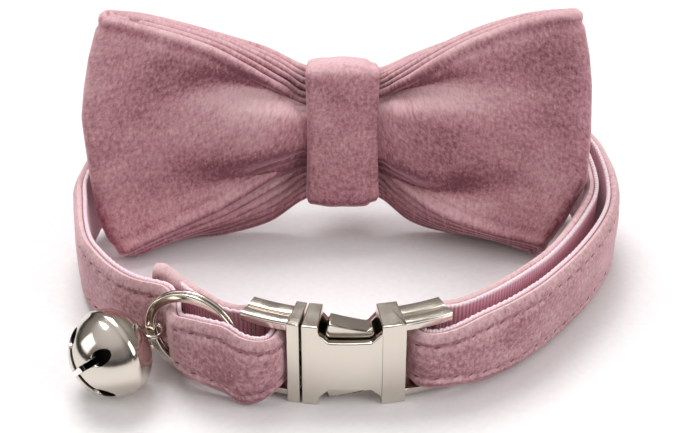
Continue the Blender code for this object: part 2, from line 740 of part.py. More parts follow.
def turned(points, sides):
    """Return a body turned round the X axis from an outline that starts and ends on it."""
    shape = bmesh.new()
    rings = []
    for along, radius in points:
        if radius < 1e-6:
            rings.append([shape.verts.new((along, 0, 0))])
            continue
        rings.append([
            shape.verts.new((along, radius * math.cos(2 * math.pi * k / sides),
                             radius * math.sin(2 * math.pi * k / sides)))
            for k in range(sides)
        ])
    for first, second in zip(rings, rings[1:]):
        for index in range(sides):
            after = (index + 1) % sides
            corners = [first[index % len(first)], first[after % len(first)],
                       second[after % len(second)], second[index % len(second)]]
            unique = list(dict.fromkeys(corners))
            shape.faces.new(unique)
    bmesh.ops.recalc_face_normals(shape, faces=shape.faces)
    return shape


def torus_in_plane(centre_x, radius, wire, sides, wire_sides):
    """Return a ring round the vertical axis through (centre_x, 0, 0)."""
    shape = bmesh.new()
    rings = []
    for step in range(sides):
        angle = 2 * math.pi * step / sides
        ring = []
        for k in range(wire_sides):
            turn = 2 * math.pi * k / wire_sides
            reach = radius + wire / 2 * math.cos(turn)
            ring.append(shape.verts.new((centre_x + reach * math.cos(angle),
                                         reach * math.sin(angle), wire / 2 * math.sin(turn))))
        rings.append(ring)
    for step, first in enumerate(rings):
        second = rings[(step + 1) % sides]
        for k in range(wire_sides):
            after = (k + 1) % wire_sides
            shape.faces.new((first[k], second[k], second[after], first[after]))
    bmesh.ops.recalc_face_normals(shape, faces=shape.faces)
    return shape


def bell(material, parent):
    """Make the hollow bell with crossed slots, and its soldered eye."""
    body = turned(bell_profile(0.0), BELL_SIDES)
    body = combine(body, turned(bell_profile(BELL_WALL), BELL_SIDES), 'DIFFERENCE')
    for turn_deg in (45, 135):
        turn = Matrix.Rotation(math.radians(turn_deg), 4, 'X')
        slot = box((-2 * BELL_RADIUS, -2.0), (-SLOT_REACH, SLOT_REACH),
                   (-SLOT_WIDTH / 2, SLOT_WIDTH / 2))
        bmesh.ops.transform(slot, matrix=turn, verts=slot.verts)
        body = combine(body, slot, 'DIFFERENCE')
        for end in (-1, 1):
            place = turn @ Vector((-BELL_RADIUS, end * SLOT_REACH, 0))
            aim = Matrix.Rotation(math.pi / 2, 4, 'Y')
            hole = cylinder(SLOT_HOLE_RADIUS, BELL_RADIUS + 2.0, 14,
                            Matrix.Translation(place) @ aim)
            body = combine(body, hole, 'DIFFERENCE')
    eye_middle = EYE_HOLE_RADIUS + EYE_WIRE / 2
    eye = torus_in_plane(BELL_EYE_DISTANCE, eye_middle, EYE_WIRE, 16, 8)
    body = combine(body, eye, 'UNION')
    stem_start = BELL_CAP_HEIGHT - BELL_WALL / 2
    stem_end = BELL_EYE_DISTANCE - eye_middle
    stem = cylinder(EYE_STEM_RADIUS, stem_end - stem_start, 12,
                    Matrix.Translation(((stem_start + stem_end) / 2, 0, 0))
                    @ Matrix.Rotation(math.pi / 2, 4, 'Y'))
    body = combine(body, stem, 'UNION')
    along, _ = ring_axes()
    wire = Vector(RING_PLACE) - along * RING_MIDDLE
    yaw = math.radians(BELL_YAW_DEG)
    aim = Vector((math.cos(yaw), math.sin(yaw)))
    centre = wire - aim * BELL_EYE_DISTANCE
    frame = add_frame("bell_frame", (centre.x, centre.y, BELL_RADIUS), (0, 0, yaw), parent)
    add_piece("bell", body, material, frame, 35)
    return frame


def bell_pellet(material, frame):
    """Make the loose ball, at the bottom of the bell."""
    shape = bmesh.new()
    bmesh.ops.create_icosphere(shape, subdivisions=2, radius=PELLET_RADIUS)
    drop = BELL_RADIUS - BELL_LIP_PROUD - BELL_WALL - PELLET_RADIUS - CLEAR
    bmesh.ops.translate(shape, vec=(0, 0, -drop), verts=shape.verts)
    return add_piece("bell_pellet", shape, material, frame, 180)


def tip_reach(height_share):
    """Read TIP_OUTLINE between its rows."""
    for (low, first), (high, second) in zip(TIP_OUTLINE, TIP_OUTLINE[1:]):
        if height_share <= high:
            return first + (second - first) * (height_share - low) / (high - low)
    return TIP_OUTLINE[-1][1]


def bow_point(section, row, reach, side):
    """Return one point of the bow's middle surface."""
    share, pinch, puff, top, foot, crease = section
    middle = (top + foot) / 2
    half = (top - foot) / 2
    rise = BOW_HALF_HEIGHT * (middle + half * row)
    from_middle = 0.0 if share < 0 else KNOT_SIDE + share * (reach - KNOT_SIDE)
    outline = 1 - (1 - tip_reach(row)) * (from_middle / reach) ** 3
    x = side * from_middle * outline
    depth = pinch * PINCH_DEPTH + puff * BOW_DEPTH
    near = abs(abs(row) - CREASE_SHARE)
    if near < 0.05:
        fade = max(0.0, 1 - abs(x) / CREASE_FADE_X)
        depth -= crease * CREASE_DEPTH * fade
    return Vector((x, -depth, rise))


def bow_loops(material, parent):
    """Make the folded band of the bow: two lobes, open along top and foot."""
    right = [(section, RIGHT_REACH, 1) for section in BOW_SECTIONS]
    left = [(section, LEFT_REACH, -1) for section in reversed(BOW_SECTIONS[1:-1])]
    loop = right + left
    grid = [[bow_point(section, row, reach, side) for row in BOW_ROWS]
            for section, reach, side in loop]
    shape = bmesh.new()
    outer = []
    inner = []
    count = len(grid)
    for index, column in enumerate(grid):
        before = grid[index - 1]
        after = grid[(index + 1) % count]
        outer_column = []
        inner_column = []
        for row, point in enumerate(column):
            along = after[row] - before[row]
            low = column[max(row - 1, 0)]
            high = column[min(row + 1, len(column) - 1)]
            normal = along.cross(high - low).normalized()
            outer_column.append(shape.verts.new(point + normal * BOW_WALL / 2))
            inner_column.append(shape.verts.new(point - normal * BOW_WALL / 2))
        outer.append(outer_column)
        inner.append(inner_column)
    last = len(BOW_ROWS) - 1
    for index in range(count):
        after = (index + 1) % count
        for row in range(last):
            shape.faces.new((outer[index][row], outer[after][row],
                             outer[after][row + 1], outer[index][row + 1]))
            shape.faces.new((inner[index][row], inner[index][row + 1],
                             inner[after][row + 1], inner[after][row]))
        shape.faces.new((outer[index][last], outer[after][last],
                         inner[after][last], inner[index][last]))
        shape.faces.new((outer[index][0], inner[index][0], inner[after][0], outer[after][0]))
    return add_piece("bow_loops", shape, material, parent, 60)


def band(stations, corners):
    """Return a band round the X axis. Stations are (x, hole half depth, hole half
    height, wall); corners is the number of points on each rounded corner."""
    shape = bmesh.new()
    outer = []
    inner = []
    for x, half_depth, half_height, wall in stations:
        outer_ring = []
        inner_ring = []
        for quarter, (front, up) in enumerate(((-1, 1), (1, 1), (1, -1), (-1, -1))):
            corner = Vector((x, front * half_depth, up * half_height))
            inner_ring.append(shape.verts.new(corner))
            for step in range(corners):
                angle = math.pi / 2 * (quarter + step / (corners - 1))
                out = Vector((0, -math.cos(angle), math.sin(angle)))
                outer_ring.append(shape.verts.new(corner + wall * out))
        outer.append(outer_ring)
        inner.append(inner_ring)
    for rings, flip in ((outer, False), (inner, True)):
        for first, second in zip(rings, rings[1:]):
            for index in range(len(first)):
                after = (index + 1) % len(first)
                face = (first[index], first[after], second[after], second[index])
                shape.faces.new(face[::-1] if flip else face)
    for outer_ring, inner_ring in ((outer[0], inner[0]), (outer[-1], inner[-1])):
        for quarter in range(4):
            fan = outer_ring[quarter * corners:(quarter + 1) * corners]
            for first, second in zip(fan, fan[1:]):
                shape.faces.new((inner_ring[quarter], first, second))
            after = (quarter + 1) % 4
            shape.faces.new((inner_ring[quarter], fan[-1],
                             outer_ring[after * corners], inner_ring[after]))
    return shape


def bow_knot(material, parent):
    """Make the strip wound round the bow's middle."""
    stations = []
    for share, puff in ((-1.0, 0.0), (-0.75, 0.7), (0.0, 1.0), (0.75, 0.7), (1.0, 0.0)):
        stations.append((share * KNOT_WIDTH / 2, KNOT_HOLE_DEPTH / 2, KNOT_HOLE_HEIGHT / 2,
                         KNOT_WALL + puff * KNOT_PUFF))
    return add_piece("bow_knot", band(stations, KNOT_CORNER_POINTS), material, parent, 50)


def bow_keeper(material, parent):
    """Make the plain band that holds the strap against the knot's back."""
    half_depth = STRAP_THICK / 2 + CLEAR
    half_height = STRAP_WIDTH / 2 + CLEAR
    shape = band([(-KEEPER_WIDTH / 2, half_depth, half_height, KEEPER_WALL),
                  (KEEPER_WIDTH / 2, half_depth, half_height, KEEPER_WALL)],
                 KEEPER_CORNER_POINTS)
    bmesh.ops.translate(shape, vec=(0, KEEPER_DEPTH, 0), verts=shape.verts)
    return add_piece("bow_keeper", shape, material, parent, 50)


def slide_adjuster(material, parent):
    """Make the plain slide that holds the strap's two runs together."""
    frame = add_frame("slide_frame", SLIDE_PLACE, (-math.radians(SLIDE_LEAN_DEG), 0, 0), parent)
    half_cell = STRAP_THICK / 2 + SLIDE_ROOM
    half_width = STRAP_WIDTH / 2 + CLEAR
    offset = slide_offset()
    x_range = (-SLIDE_WIDTH / 2, SLIDE_WIDTH / 2)
    body = box(x_range, (-offset - half_cell - SLIDE_WALL, half_cell + SLIDE_WALL),
               (-half_width - SLIDE_WALL, half_width + SLIDE_WALL))
    for middle in (0.0, -offset):
        cell = box((-SLIDE_WIDTH, SLIDE_WIDTH), (middle - half_cell, middle + half_cell),
                   (-half_width, half_width))
        body = combine(body, cell, 'DIFFERENCE')
    return add_piece("slide_adjuster", body, material, frame, 30)


def set_origin(collar):
    """Move the collar so that its origin is on the floor below its middle."""
    bpy.context.view_layer.update()
    points = [item.matrix_world @ vert.co for item in bpy.data.objects
              if item.type == 'MESH' for vert in item.data.vertices]
    low = [min(point[axis] for point in points) for axis in range(3)]
    high = [max(point[axis] for point in points) for axis in range(3)]
    collar.location = (-(low[0] + high[0]) / 2, -(low[1] + high[1]) / 2, -low[2])


def main():
    """Build the collar."""
    clear_scene()
    velvet = make_material("dusty_rose_velvet", (0.44, 0.19, 0.22), 0.0, 0.9)
    webbing = make_material("pale_pink_webbing", (0.78, 0.50, 0.57), 0.0, 0.8)
    nickel = make_material("nickel_plate", (0.72, 0.69, 0.64), 1.0, 0.16)
    collar = add_frame("collar", (0, 0, 0), (0, 0, 0))
    strap(velvet, webbing, collar)
    buckle_female(nickel, collar)
    buckle_male(nickel, collar)
    release_lever("release_lever_top", 1, nickel, collar)
    release_lever("release_lever_bottom", -1, nickel, collar)
    split_ring(nickel, collar)
    bell_frame = bell(nickel, collar)
    bell_pellet(nickel, bell_frame)
    bow_frame = add_frame("bow_frame", BOW_PLACE, (-math.radians(BOW_LEAN_DEG), 0, 0), collar)
    bow_loops(velvet, bow_frame)
    bow_knot(velvet, bow_frame)
    bow_keeper(velvet, bow_frame)
    slide_adjuster(nickel, collar)
    set_origin(collar)


main()
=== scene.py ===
"""Looks of the cat collar: velvet strap and bow, ribbed lining, nickel buckle, ring and bell."""

import json
import logging
import math
from collections.abc import Callable, Sequence
from dataclasses import dataclass, field
from enum import Enum

import bpy
from mathutils import Matrix, Vector, noise

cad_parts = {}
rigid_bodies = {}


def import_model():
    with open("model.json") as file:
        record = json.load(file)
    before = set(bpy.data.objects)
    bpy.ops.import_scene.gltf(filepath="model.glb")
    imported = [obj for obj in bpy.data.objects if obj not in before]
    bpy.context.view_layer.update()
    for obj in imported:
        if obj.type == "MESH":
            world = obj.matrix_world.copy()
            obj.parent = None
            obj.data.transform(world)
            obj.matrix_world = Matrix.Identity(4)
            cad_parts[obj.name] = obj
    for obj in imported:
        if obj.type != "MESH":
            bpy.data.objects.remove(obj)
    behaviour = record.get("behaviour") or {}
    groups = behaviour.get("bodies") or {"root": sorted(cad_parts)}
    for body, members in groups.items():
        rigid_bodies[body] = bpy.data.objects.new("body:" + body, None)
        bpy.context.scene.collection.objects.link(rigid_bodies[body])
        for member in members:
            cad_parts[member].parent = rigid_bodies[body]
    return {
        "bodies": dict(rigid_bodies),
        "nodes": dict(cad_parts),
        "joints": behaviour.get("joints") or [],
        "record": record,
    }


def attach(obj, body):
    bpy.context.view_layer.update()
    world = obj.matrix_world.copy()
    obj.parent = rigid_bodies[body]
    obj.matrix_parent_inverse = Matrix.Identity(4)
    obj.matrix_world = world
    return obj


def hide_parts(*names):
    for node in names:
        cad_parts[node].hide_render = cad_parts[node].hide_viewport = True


Piece = bpy.types.Object
Material = bpy.types.Material
Tree = bpy.types.NodeTree
Pair = tuple[float, float]
Triple = tuple[float, float, float]
Row = tuple[float, ...]

LOG = logging.getLogger("cat_collar")
MM = 0.001
# The lowest hairs of the pile stand this many millimetres above the floor.
FLOOR_PILE = 0.04
# Points of a grid that are closer than this many metres are one point.
SEAM_MERGE = 2e-6
COLLAR_BODY = "collar"
# Where the ring and the bow stand, in millimetres and degrees.
RING_PLACE = (-22.7, 6.8, 7.9)
RING_YAW_DEG = -21.7
BOW_PLACE = (-0.6, 48.042, 18.906)
BOW_LEAN_DEG = 15.0
# The tables below are millimetres from a point on the floor under the buckle's middle. This
# shift takes them to the collar's own origin, on the floor below its middle.
BUCKLE_ORIGIN = Vector((-0.1536, -28.5442, 0.0))


class Slot(Enum):
    """The record's material slots."""

    VELVET = "dusty_rose_velvet"
    WEBBING = "pale_pink_webbing"
    NICKEL = "nickel_plate"


class Weave(Enum):
    """What a cloth's pattern follows."""

    ALONG_PIECE = "the piece's own UV map, in millimetres"
    IN_SPACE = "the collar's own frame"


class Side(Enum):
    """Two opposite sides: of the bow, of the strap's width or of a slot in the bell."""

    LEFT = -1
    RIGHT = 1


def linear(hex_colour: str) -> tuple[float, float, float, float]:
    """Turn an sRGB hex colour into linear light.

    Args:
        hex_colour: Six hex digits, such as "c08a94".

    Returns:
        Red, green, blue and an alpha of 1.
    """
    channels = []
    for start in (0, 2, 4):
        value = int(hex_colour[start:start + 2], 16) / 255
        channels.append(value / 12.92 if value <= 0.04045 else ((value + 0.055) / 1.055) ** 2.4)
    return (channels[0], channels[1], channels[2], 1.0)


def set_inputs(
    tree: Tree, node: bpy.types.Node, values: dict[str | int, object]
) -> None:
    """Set or link a node's inputs.

    Args:
        tree: The node tree that holds the node.
        node: The node.
        values: Inputs by name or index. A socket makes a link, a node stands for its first
            output, and anything else is set.
    """
    for key, value in values.items():
        if isinstance(value, bpy.types.Node):
            value = value.outputs[0]
        if isinstance(value, bpy.types.NodeSocket):
            tree.links.new(value, node.inputs[key])
        else:
            node.inputs[key].default_value = value


def add_node(
    tree: Tree,
    kind: str,
    values: dict[str | int, object] | None = None,
    settings: dict[str, object] | None = None,
    stops: list[tuple[float, str]] | None = None,
) -> bpy.types.Node:
    """Add a node with its inputs, its settings and its colour stops.

    Args:
        tree: The node tree that gets the node.
        kind: The node's type name, without "ShaderNode".
        values: Inputs, as set_inputs takes them.
        settings: Attributes of the node itself.
        stops: For a colour ramp, positions with sRGB hex colours, in rising order.

    Returns:
        The new node.
    """
    node = tree.nodes.new("ShaderNode" + kind)
    for key, value in (settings or {}).items():
        setattr(node, key, value)
    set_inputs(tree, node, values or {})
    for index, (position, colour) in enumerate(stops or []):
        elements = node.color_ramp.elements
        if index == len(elements):
            elements.new(position)
        elements[index].position = position
        elements[index].color = linear(colour)
    return node


def principled(name: str) -> tuple[Material, Tree, bpy.types.Node]:
    """Start a material.

    Args:
        name: The material's name.

    Returns:
        The material, its tree and its Principled BSDF.
    """
    material = bpy.data.materials.new(name)
    material.use_nodes = True
    tree = material.node_tree
    return material, tree, tree.nodes["Principled BSDF"]


@dataclass(frozen=True)
class PolyesterVelvet:
    """Short-pile polyester velvet: matt, with a painted sheen where the pile is seen side on.

    The pile's grain is about 0.3 mm and is drawn at that scale. Brushing leaves short streaks
    and patches some 9 mm across. Painted light makes the cloth paler where it faces up and
    darker where it faces down. The five shades run from painted shade at the roots of the
    hairs to their tips.
    """

    name: str
    weave: Weave = Weave.ALONG_PIECE
    deep: str = "6a3f49"
    dark: str = "8a5862"
    middle: str = "bd8a92"
    light: str = "dcb2b7"
    pale: str = "edd0d2"
    # Painted sheen: the pale colour mixed in where the pile is seen side on, and its share.
    painted_sheen: str = "e9c6cb"
    sheen: str = "f3d3d8"
    painted_sheen_share: float = 0.6
    pile_mm: float = 0.34
    brush_mm: float = 9.0
    streaks_per_mm: float = 0.9
    # Painted light: how much paler up-facing cloth and how much darker down-facing cloth is drawn.
    painted_up_light_share: float = 0.14

    def millimetres(self, tree: Tree) -> bpy.types.NodeSocket:
        """Place the pattern along the piece or in space.

        Args:
            tree: The material's node tree.

        Returns:
            The pattern's coordinates, in millimetres.
        """
        if self.weave is Weave.ALONG_PIECE:
            return add_node(tree, "UVMap", settings={"uv_map": "UVMap"}).outputs["UV"]
        space = add_node(tree, "TexCoord").outputs["Object"]
        per_metre = 1 / MM
        return add_node(tree, "Mapping", {
            "Vector": space, "Scale": (per_metre, per_metre, per_metre)}).outputs["Vector"]

    def build(self) -> Material:
        """Mix patches, streaks and pile into one grain, add painted light by the way the cloth
        faces and a painted sheen where it is seen side on, and colour and raise it.

        Returns:
            The material.
        """
        material, tree, shader = principled(self.name)
        place = self.millimetres(tree)
        brush = add_node(tree, "Mapping", {"Vector": place, "Scale": (0.6, 1.0, 1.0)})
        patches = add_node(tree, "TexNoise", {
            "Vector": brush, "Scale": 1 / self.brush_mm, "Detail": 3.0, "Roughness": 0.6})
        pile = add_node(tree, "TexNoise", {
            "Vector": place, "Scale": 0.5 / self.pile_mm, "Detail": 3.0, "Roughness": 0.75})
        streaks = add_node(tree, "Mapping", {"Vector": place, "Scale": (2.2, 0.8, 1.0)})
        nap = add_node(tree, "TexNoise", {
            "Vector": streaks, "Scale": self.streaks_per_mm, "Detail": 3.0, "Roughness": 0.65})
        mixed = add_node(tree, "Mix", {0: 0.4, 2: patches, 3: nap}, {"data_type": "FLOAT"})
        grain = add_node(tree, "Mix", {0: 0.42, 2: mixed, 3: pile}, {"data_type": "FLOAT"})
        # Painted light: the normal's height makes the cloth paler facing up and darker facing down.
        surface = add_node(tree, "NewGeometry")
        facing = add_node(tree, "SeparateXYZ", {"Vector": surface.outputs["Normal"]})
        lay = add_node(tree, "MapRange", {
            "Value": facing.outputs["Z"], "From Min": -0.25, "From Max": 0.75,
            "To Min": -self.painted_up_light_share, "To Max": self.painted_up_light_share})
        shade = add_node(tree, "Math", {0: grain, 1: lay}, {"operation": "ADD"})
        colour = add_node(tree, "ValToRGB", {"Fac": shade}, stops=[
            (0.20, self.deep), (0.37, self.dark), (0.5, self.middle), (0.64, self.light),
            (0.84, self.pale)])
        # Painted sheen: the colour turns paler where the surface is seen side on.
        edge = add_node(tree, "LayerWeight", {"Blend": 0.5})
        rim = add_node(tree, "MapRange", {
            "Value": edge.outputs["Facing"], "From Min": 0.45, "From Max": 1.0,
            "To Max": self.painted_sheen_share})
        with_painted_sheen = add_node(tree, "Mix", {
            0: rim, 6: colour, 7: linear(self.painted_sheen)}, {"data_type": "RGBA"})
        bump = add_node(tree, "Bump", {
            "Strength": 0.55, "Distance": 0.22 * MM, "Height": grain})
        set_inputs(tree, shader, {
            "Base Color": with_painted_sheen.outputs[2], "Roughness": 0.92, "Specular IOR Level": 0.2,
            "Sheen Weight": 0.2, "Sheen Roughness": 0.45, "Sheen Tint": linear(self.sheen),
            "Normal": bump})
        return material


@dataclass(frozen=True)
class NylonWebbing:
    """Woven nylon ribbon: fine ribs across a pale pink ground, with a paler selvedge.

    The ribs are 0.55 mm apart, with painted shade in the valleys between them. The selvedge
    is the outer 0.5 mm of each edge.
    """

    name: str
    ground: str = "eab6c4"
    rib_valley_shade: str = "cf90a2"
    selvedge: str = "f7e0e8"
    rib_mm: float = 0.55
    half_width_mm: float = 6.3
    selvedge_mm: float = 0.5
    selvedge_blur_mm: float = 0.15

    def build(self) -> Material:
        """Draw the ribs along u and the selvedge across v, in millimetres.

        Returns:
            The material.
        """
        material, tree, shader = principled(self.name)
        place = add_node(tree, "UVMap", settings={"uv_map": "UVMap"})
        split = add_node(tree, "SeparateXYZ", {"Vector": place})
        along = add_node(tree, "Math", {
            0: split.outputs["X"], 1: 2 * math.pi / self.rib_mm}, {"operation": "MULTIPLY"})
        rib = add_node(tree, "Math", {0: along}, {"operation": "SINE"})
        wave = add_node(tree, "MapRange", {"Value": rib, "From Min": -1.0, "From Max": 1.0})
        across = add_node(tree, "Math", {0: split.outputs["Y"]}, {"operation": "ABSOLUTE"})
        border = self.half_width_mm - self.selvedge_mm
        edge = add_node(tree, "MapRange", {
            "Value": across, "From Min": border - self.selvedge_blur_mm,
            "From Max": border + self.selvedge_blur_mm})
        # Painted shade: the colour darkens in the valleys between the ribs.
        body = add_node(tree, "ValToRGB", {"Fac": wave}, stops=[
            (0.1, self.rib_valley_shade), (0.7, self.ground)])
        fleck = add_node(tree, "TexNoise", {"Vector": place, "Scale": 2.2, "Detail": 2.0})
        paled = add_node(tree, "Mix", {0: 0.35, 6: body, 7: fleck.outputs["Color"]}, {
            "data_type": "RGBA", "blend_type": "SOFT_LIGHT"})
        colour = add_node(tree, "Mix", {
            0: edge, 6: paled.outputs[2], 7: linear(self.selvedge)}, {"data_type": "RGBA"})
        bump = add_node(tree, "Bump", {"Strength": 0.8, "Distance": 0.12 * MM, "Height": wave})
        set_inputs(tree, shader, {
            "Base Color": colour.outputs[2], "Roughness": 0.62, "Sheen Weight": 0.2,
            "Normal": bump})
        return material


@dataclass(frozen=True)
class NickelPlate:
    """Nickel-plated metal: bright and slightly warm.

    It has the faint ripple of a polished casting, about 3 mm across, and smears some 2 mm
    across that are a little duller.
    """

    name: str
    colour: str = "d6cec3"
    roughness: float = 0.13
    ripple_mm: float = 3.0
    ripple: float = 0.05
    smears_per_m: float = 420.0

    def build(self) -> Material:
        """Draw the smears and the ripple on object coordinates.

        Returns:
            The material.
        """
        material, tree, shader = principled(self.name)
        place = add_node(tree, "TexCoord").outputs["Object"]
        smear = add_node(tree, "TexNoise", {
            "Vector": place, "Scale": self.smears_per_m, "Detail": 4.0})
        rough = add_node(tree, "MapRange", {
            "Value": smear, "From Min": 0.3, "From Max": 0.7,
            "To Min": self.roughness * 0.75, "To Max": self.roughness * 1.5})
        ripple = add_node(tree, "TexNoise", {
            "Vector": place, "Scale": 1 / (self.ripple_mm * MM), "Detail": 1.0})
        bump = add_node(tree, "Bump", {
            "Strength": self.ripple, "Distance": 0.3 * MM, "Height": ripple})
        set_inputs(tree, shader, {
            "Base Color": linear(self.colour), "Metallic": 1.0, "Roughness": rough,
            "Normal": bump})
        return material


@dataclass(frozen=True)
class SewingThread:
    """Twisted polyester thread, darker than the velvet that it sinks into.

    Its two plies are drawn as flecks of two shades, about 0.2 mm long.
    """

    name: str
    colour: str = "8d5663"
    ply_shade: str = "6f414d"
    flecks_per_m: float = 5200.0

    def build(self) -> Material:
        """Draw the plies on object coordinates.

        Returns:
            The material.
        """
        material, tree, shader = principled(self.name)
        place = add_node(tree, "TexCoord").outputs["Object"]
        ply = add_node(tree, "TexNoise", {
            "Vector": place, "Scale": self.flecks_per_m, "Detail": 1.0})
        colour = add_node(tree, "ValToRGB", {"Fac": ply}, stops=[
            (0.35, self.ply_shade), (0.65, self.colour)])
        set_inputs(tree, shader, {"Base Color": colour, "Roughness": 0.6})
        return material


def deselect() -> None:
    """Leave object mode with nothing selected."""
    if bpy.context.object is not None and bpy.context.object.mode != 'OBJECT':
        bpy.ops.object.mode_set(mode='OBJECT')
    bpy.ops.object.select_all(action='DESELECT')


def take(piece: Piece) -> None:
    """Select one piece alone and make it active.

    Args:
        piece: The object to work on.
    """
    deselect()
    piece.select_set(True)
    bpy.context.view_layer.objects.active = piece


def remove(piece: Piece) -> None:
    """Delete a helper object.

    Args:
        piece: The object.
    """
    take(piece)
    bpy.ops.object.delete()


def name_active(name: str) -> Piece:
    """Name the object that an operator has just made.

    Args:
        name: The new name of the object and its mesh.

    Returns:
        The active object.
    """
    piece = bpy.context.object
    piece.name = name
    piece.data.name = name
    return piece


def primitive(name: str, add: Callable[..., set[str]], **sizes: object) -> Piece:
    """Add a primitive mesh.

    Args:
        name: The object's name.
        add: The operator that adds it.
        sizes: The operator's own arguments.

    Returns:
        The new object.
    """
    deselect()
    add(**sizes)
    return name_active(name)


def apply_place(piece: Piece) -> None:
    """Move a piece's place into its mesh, so that its object sits at the origin.

    Args:
        piece: The object.
    """
    take(piece)
    bpy.ops.object.transform_apply(location=True, rotation=True, scale=True)


def apply_modifier(
    piece: Piece, kind: str, settings: dict[str, object]
) -> None:
    """Add a modifier, set it and apply it.

    Args:
        piece: The object.
        kind: The modifier's type.
        settings: The modifier's attributes.
    """
    take(piece)
    modifier = piece.modifiers.new(kind.lower(), kind)
    for key, value in settings.items():
        setattr(modifier, key, value)
    bpy.ops.object.modifier_apply(modifier=modifier.name)


def combine(piece: Piece, other: Piece, operation: str) -> None:
    """Cut another solid from a piece or join it on, and delete that solid.

    Args:
        piece: The object that stays.
        other: The object that is used up.
        operation: DIFFERENCE or UNION.
    """
    apply_place(other)
    apply_modifier(piece, 'BOOLEAN', {
        "operation": operation, "object": other, "solver": 'EXACT'})
    remove(other)


def paint(piece: Piece, material: Material) -> None:
    """Give a piece one material.

    Args:
        piece: A new piece or a CAD node's object.
        material: The finish.
    """
    if piece.material_slots:
        for entry in piece.material_slots:
            entry.material = material
    else:
        piece.data.materials.append(material)


def smooth(piece: Piece, angle_deg: float) -> None:
    """Shade a piece smooth up to an angle.

    Args:
        piece: The object.
        angle_deg: Edges sharper than this stay sharp.
    """
    take(piece)
    bpy.ops.object.shade_smooth_by_angle(angle=math.radians(angle_deg))


def coat(piece: Piece, angle_deg: float, material: Material) -> None:
    """Shade a piece smooth and give it its material.

    Args:
        piece: The object.
        angle_deg: Edges sharper than this stay sharp.
        material: The finish.
    """
    smooth(piece, angle_deg)
    paint(piece, material)


def on_floor(point: Vector) -> Vector:
    """Lift a point of cloth to the floor if it would sink in.

    Args:
        point: In millimetres.

    Returns:
        The same point, no lower than the pile that it rests on.
    """
    return Vector((point.x, point.y, max(point.z, FLOOR_PILE)))


def quarter_turn(
    centre: Pair, radius: float, start_deg: float, end_deg: float, steps: int
) -> list[Pair]:
    """Return points evenly along an arc, both ends included.

    Args:
        centre: The arc's centre.
        radius: Its radius.
        start_deg: The first point's direction, from the first axis towards the second.
        end_deg: The last point's direction.
        steps: How many equal parts the arc has.

    Returns:
        The points.
    """
    points = []
    for step in range(steps + 1):
        turn = math.radians(start_deg + (end_deg - start_deg) * step / steps)
        points.append((centre[0] + radius * math.cos(turn), centre[1] + radius * math.sin(turn)))
    return points


def smooth_read(rows: Sequence[Sequence[float]], share: float) -> list[float]:
    """Read the smooth curve between the second and the third of four rows.

    Args:
        rows: Four rows of the same length.
        share: How far from the second row towards the third.

    Returns:
        The interpolated row.
    """
    values = []
    for p0, p1, p2, p3 in zip(*rows):
        second = (2 * p0 - 5 * p1 + 4 * p2 - p3) * share ** 2
        third = (3 * p1 - p0 - 3 * p2 + p3) * share ** 3
        values.append(0.5 * (2 * p1 + (p2 - p0) * share + second + third))
    return values


def rolled(edge: float, radius: float) -> float:
    """Return how much of its thickness a rolled edge has.

    Args:
        edge: Distance from the edge.
        radius: The roll's radius.

    Returns:
        From 0 at the edge to 1 where the roll ends.
    """
    return math.sqrt(max(0.0, 1 - max(0.0, 1 - edge / radius) ** 2))


def shaped_grid(
    name: str,
    columns: int,
    rows: int,
    place: Callable[[int, int], Vector],
    mark: Callable[[int, int], Pair],
) -> Piece:
    """Add a grid, lay each of its points where the real surface is, and close its seams.

    Args:
        name: The piece's name.
        columns: Cells along the first way.
        rows: Cells along the second way.
        place: Gives a point in millimetres from its column and row.
        mark: Gives the point's place on the UV map, in millimetres.

    Returns:
        The piece, with every open rim filled and its faces pointing out.
    """
    piece = primitive(name, bpy.ops.mesh.primitive_grid_add, x_subdivisions=columns,
                      y_subdivisions=rows, size=1.0)
    mesh = piece.data
    index_of = []
    for vertex in mesh.vertices:
        column = round((vertex.co.x + 0.5) * columns)
        row = round((vertex.co.y + 0.5) * rows)
        index_of.append((column, row))
        vertex.co = place(column, row) * MM
    layer = mesh.uv_layers[0]
    layer.name = "UVMap"
    for loop in mesh.loops:
        layer.data[loop.index].uv = mark(*index_of[loop.vertex_index])
    take(piece)
    bpy.ops.object.mode_set(mode='EDIT')
    bpy.ops.mesh.select_all(action='SELECT')
    bpy.ops.mesh.remove_doubles(threshold=SEAM_MERGE)
    bpy.ops.mesh.fill_holes(sides=0)
    bpy.ops.mesh.select_all(action='SELECT')
    bpy.ops.mesh.normals_make_consistent(inside=False)
    bpy.ops.object.mode_set(mode='OBJECT')
    return piece


def finish_piece(
    piece: Piece,
    slot: Slot,
    body: str = COLLAR_BODY,
    nodes: tuple[str, ...] = (),
    cut_mm: Pair | None = None,
) -> None:
    """Tell the frame what a piece rides on and stands for.

    Args:
        piece: The object.
        slot: Its material slot. Not used.
        body: The CAD body that carries it.
        nodes: The CAD nodes that it replaces.
        cut_mm: Width and length of the flat cut, where it is a sheet of cloth.
    """
    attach(piece, body)
    if nodes:
        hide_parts(*nodes)
    if cut_mm:
        LOG.info("%s: cut flat %.1f by %.1f mm", piece.name, *cut_mm)
    LOG.info("%s: %d faces", piece.name, len(piece.data.polygons))


@dataclass(frozen=True)
class Station:
    """One place along the strap: its middle, the way up, the velvet's side and its width."""

    place: Vector
    heading: Vector
    up: Vector
    side: Vector
    width: float
    run: float


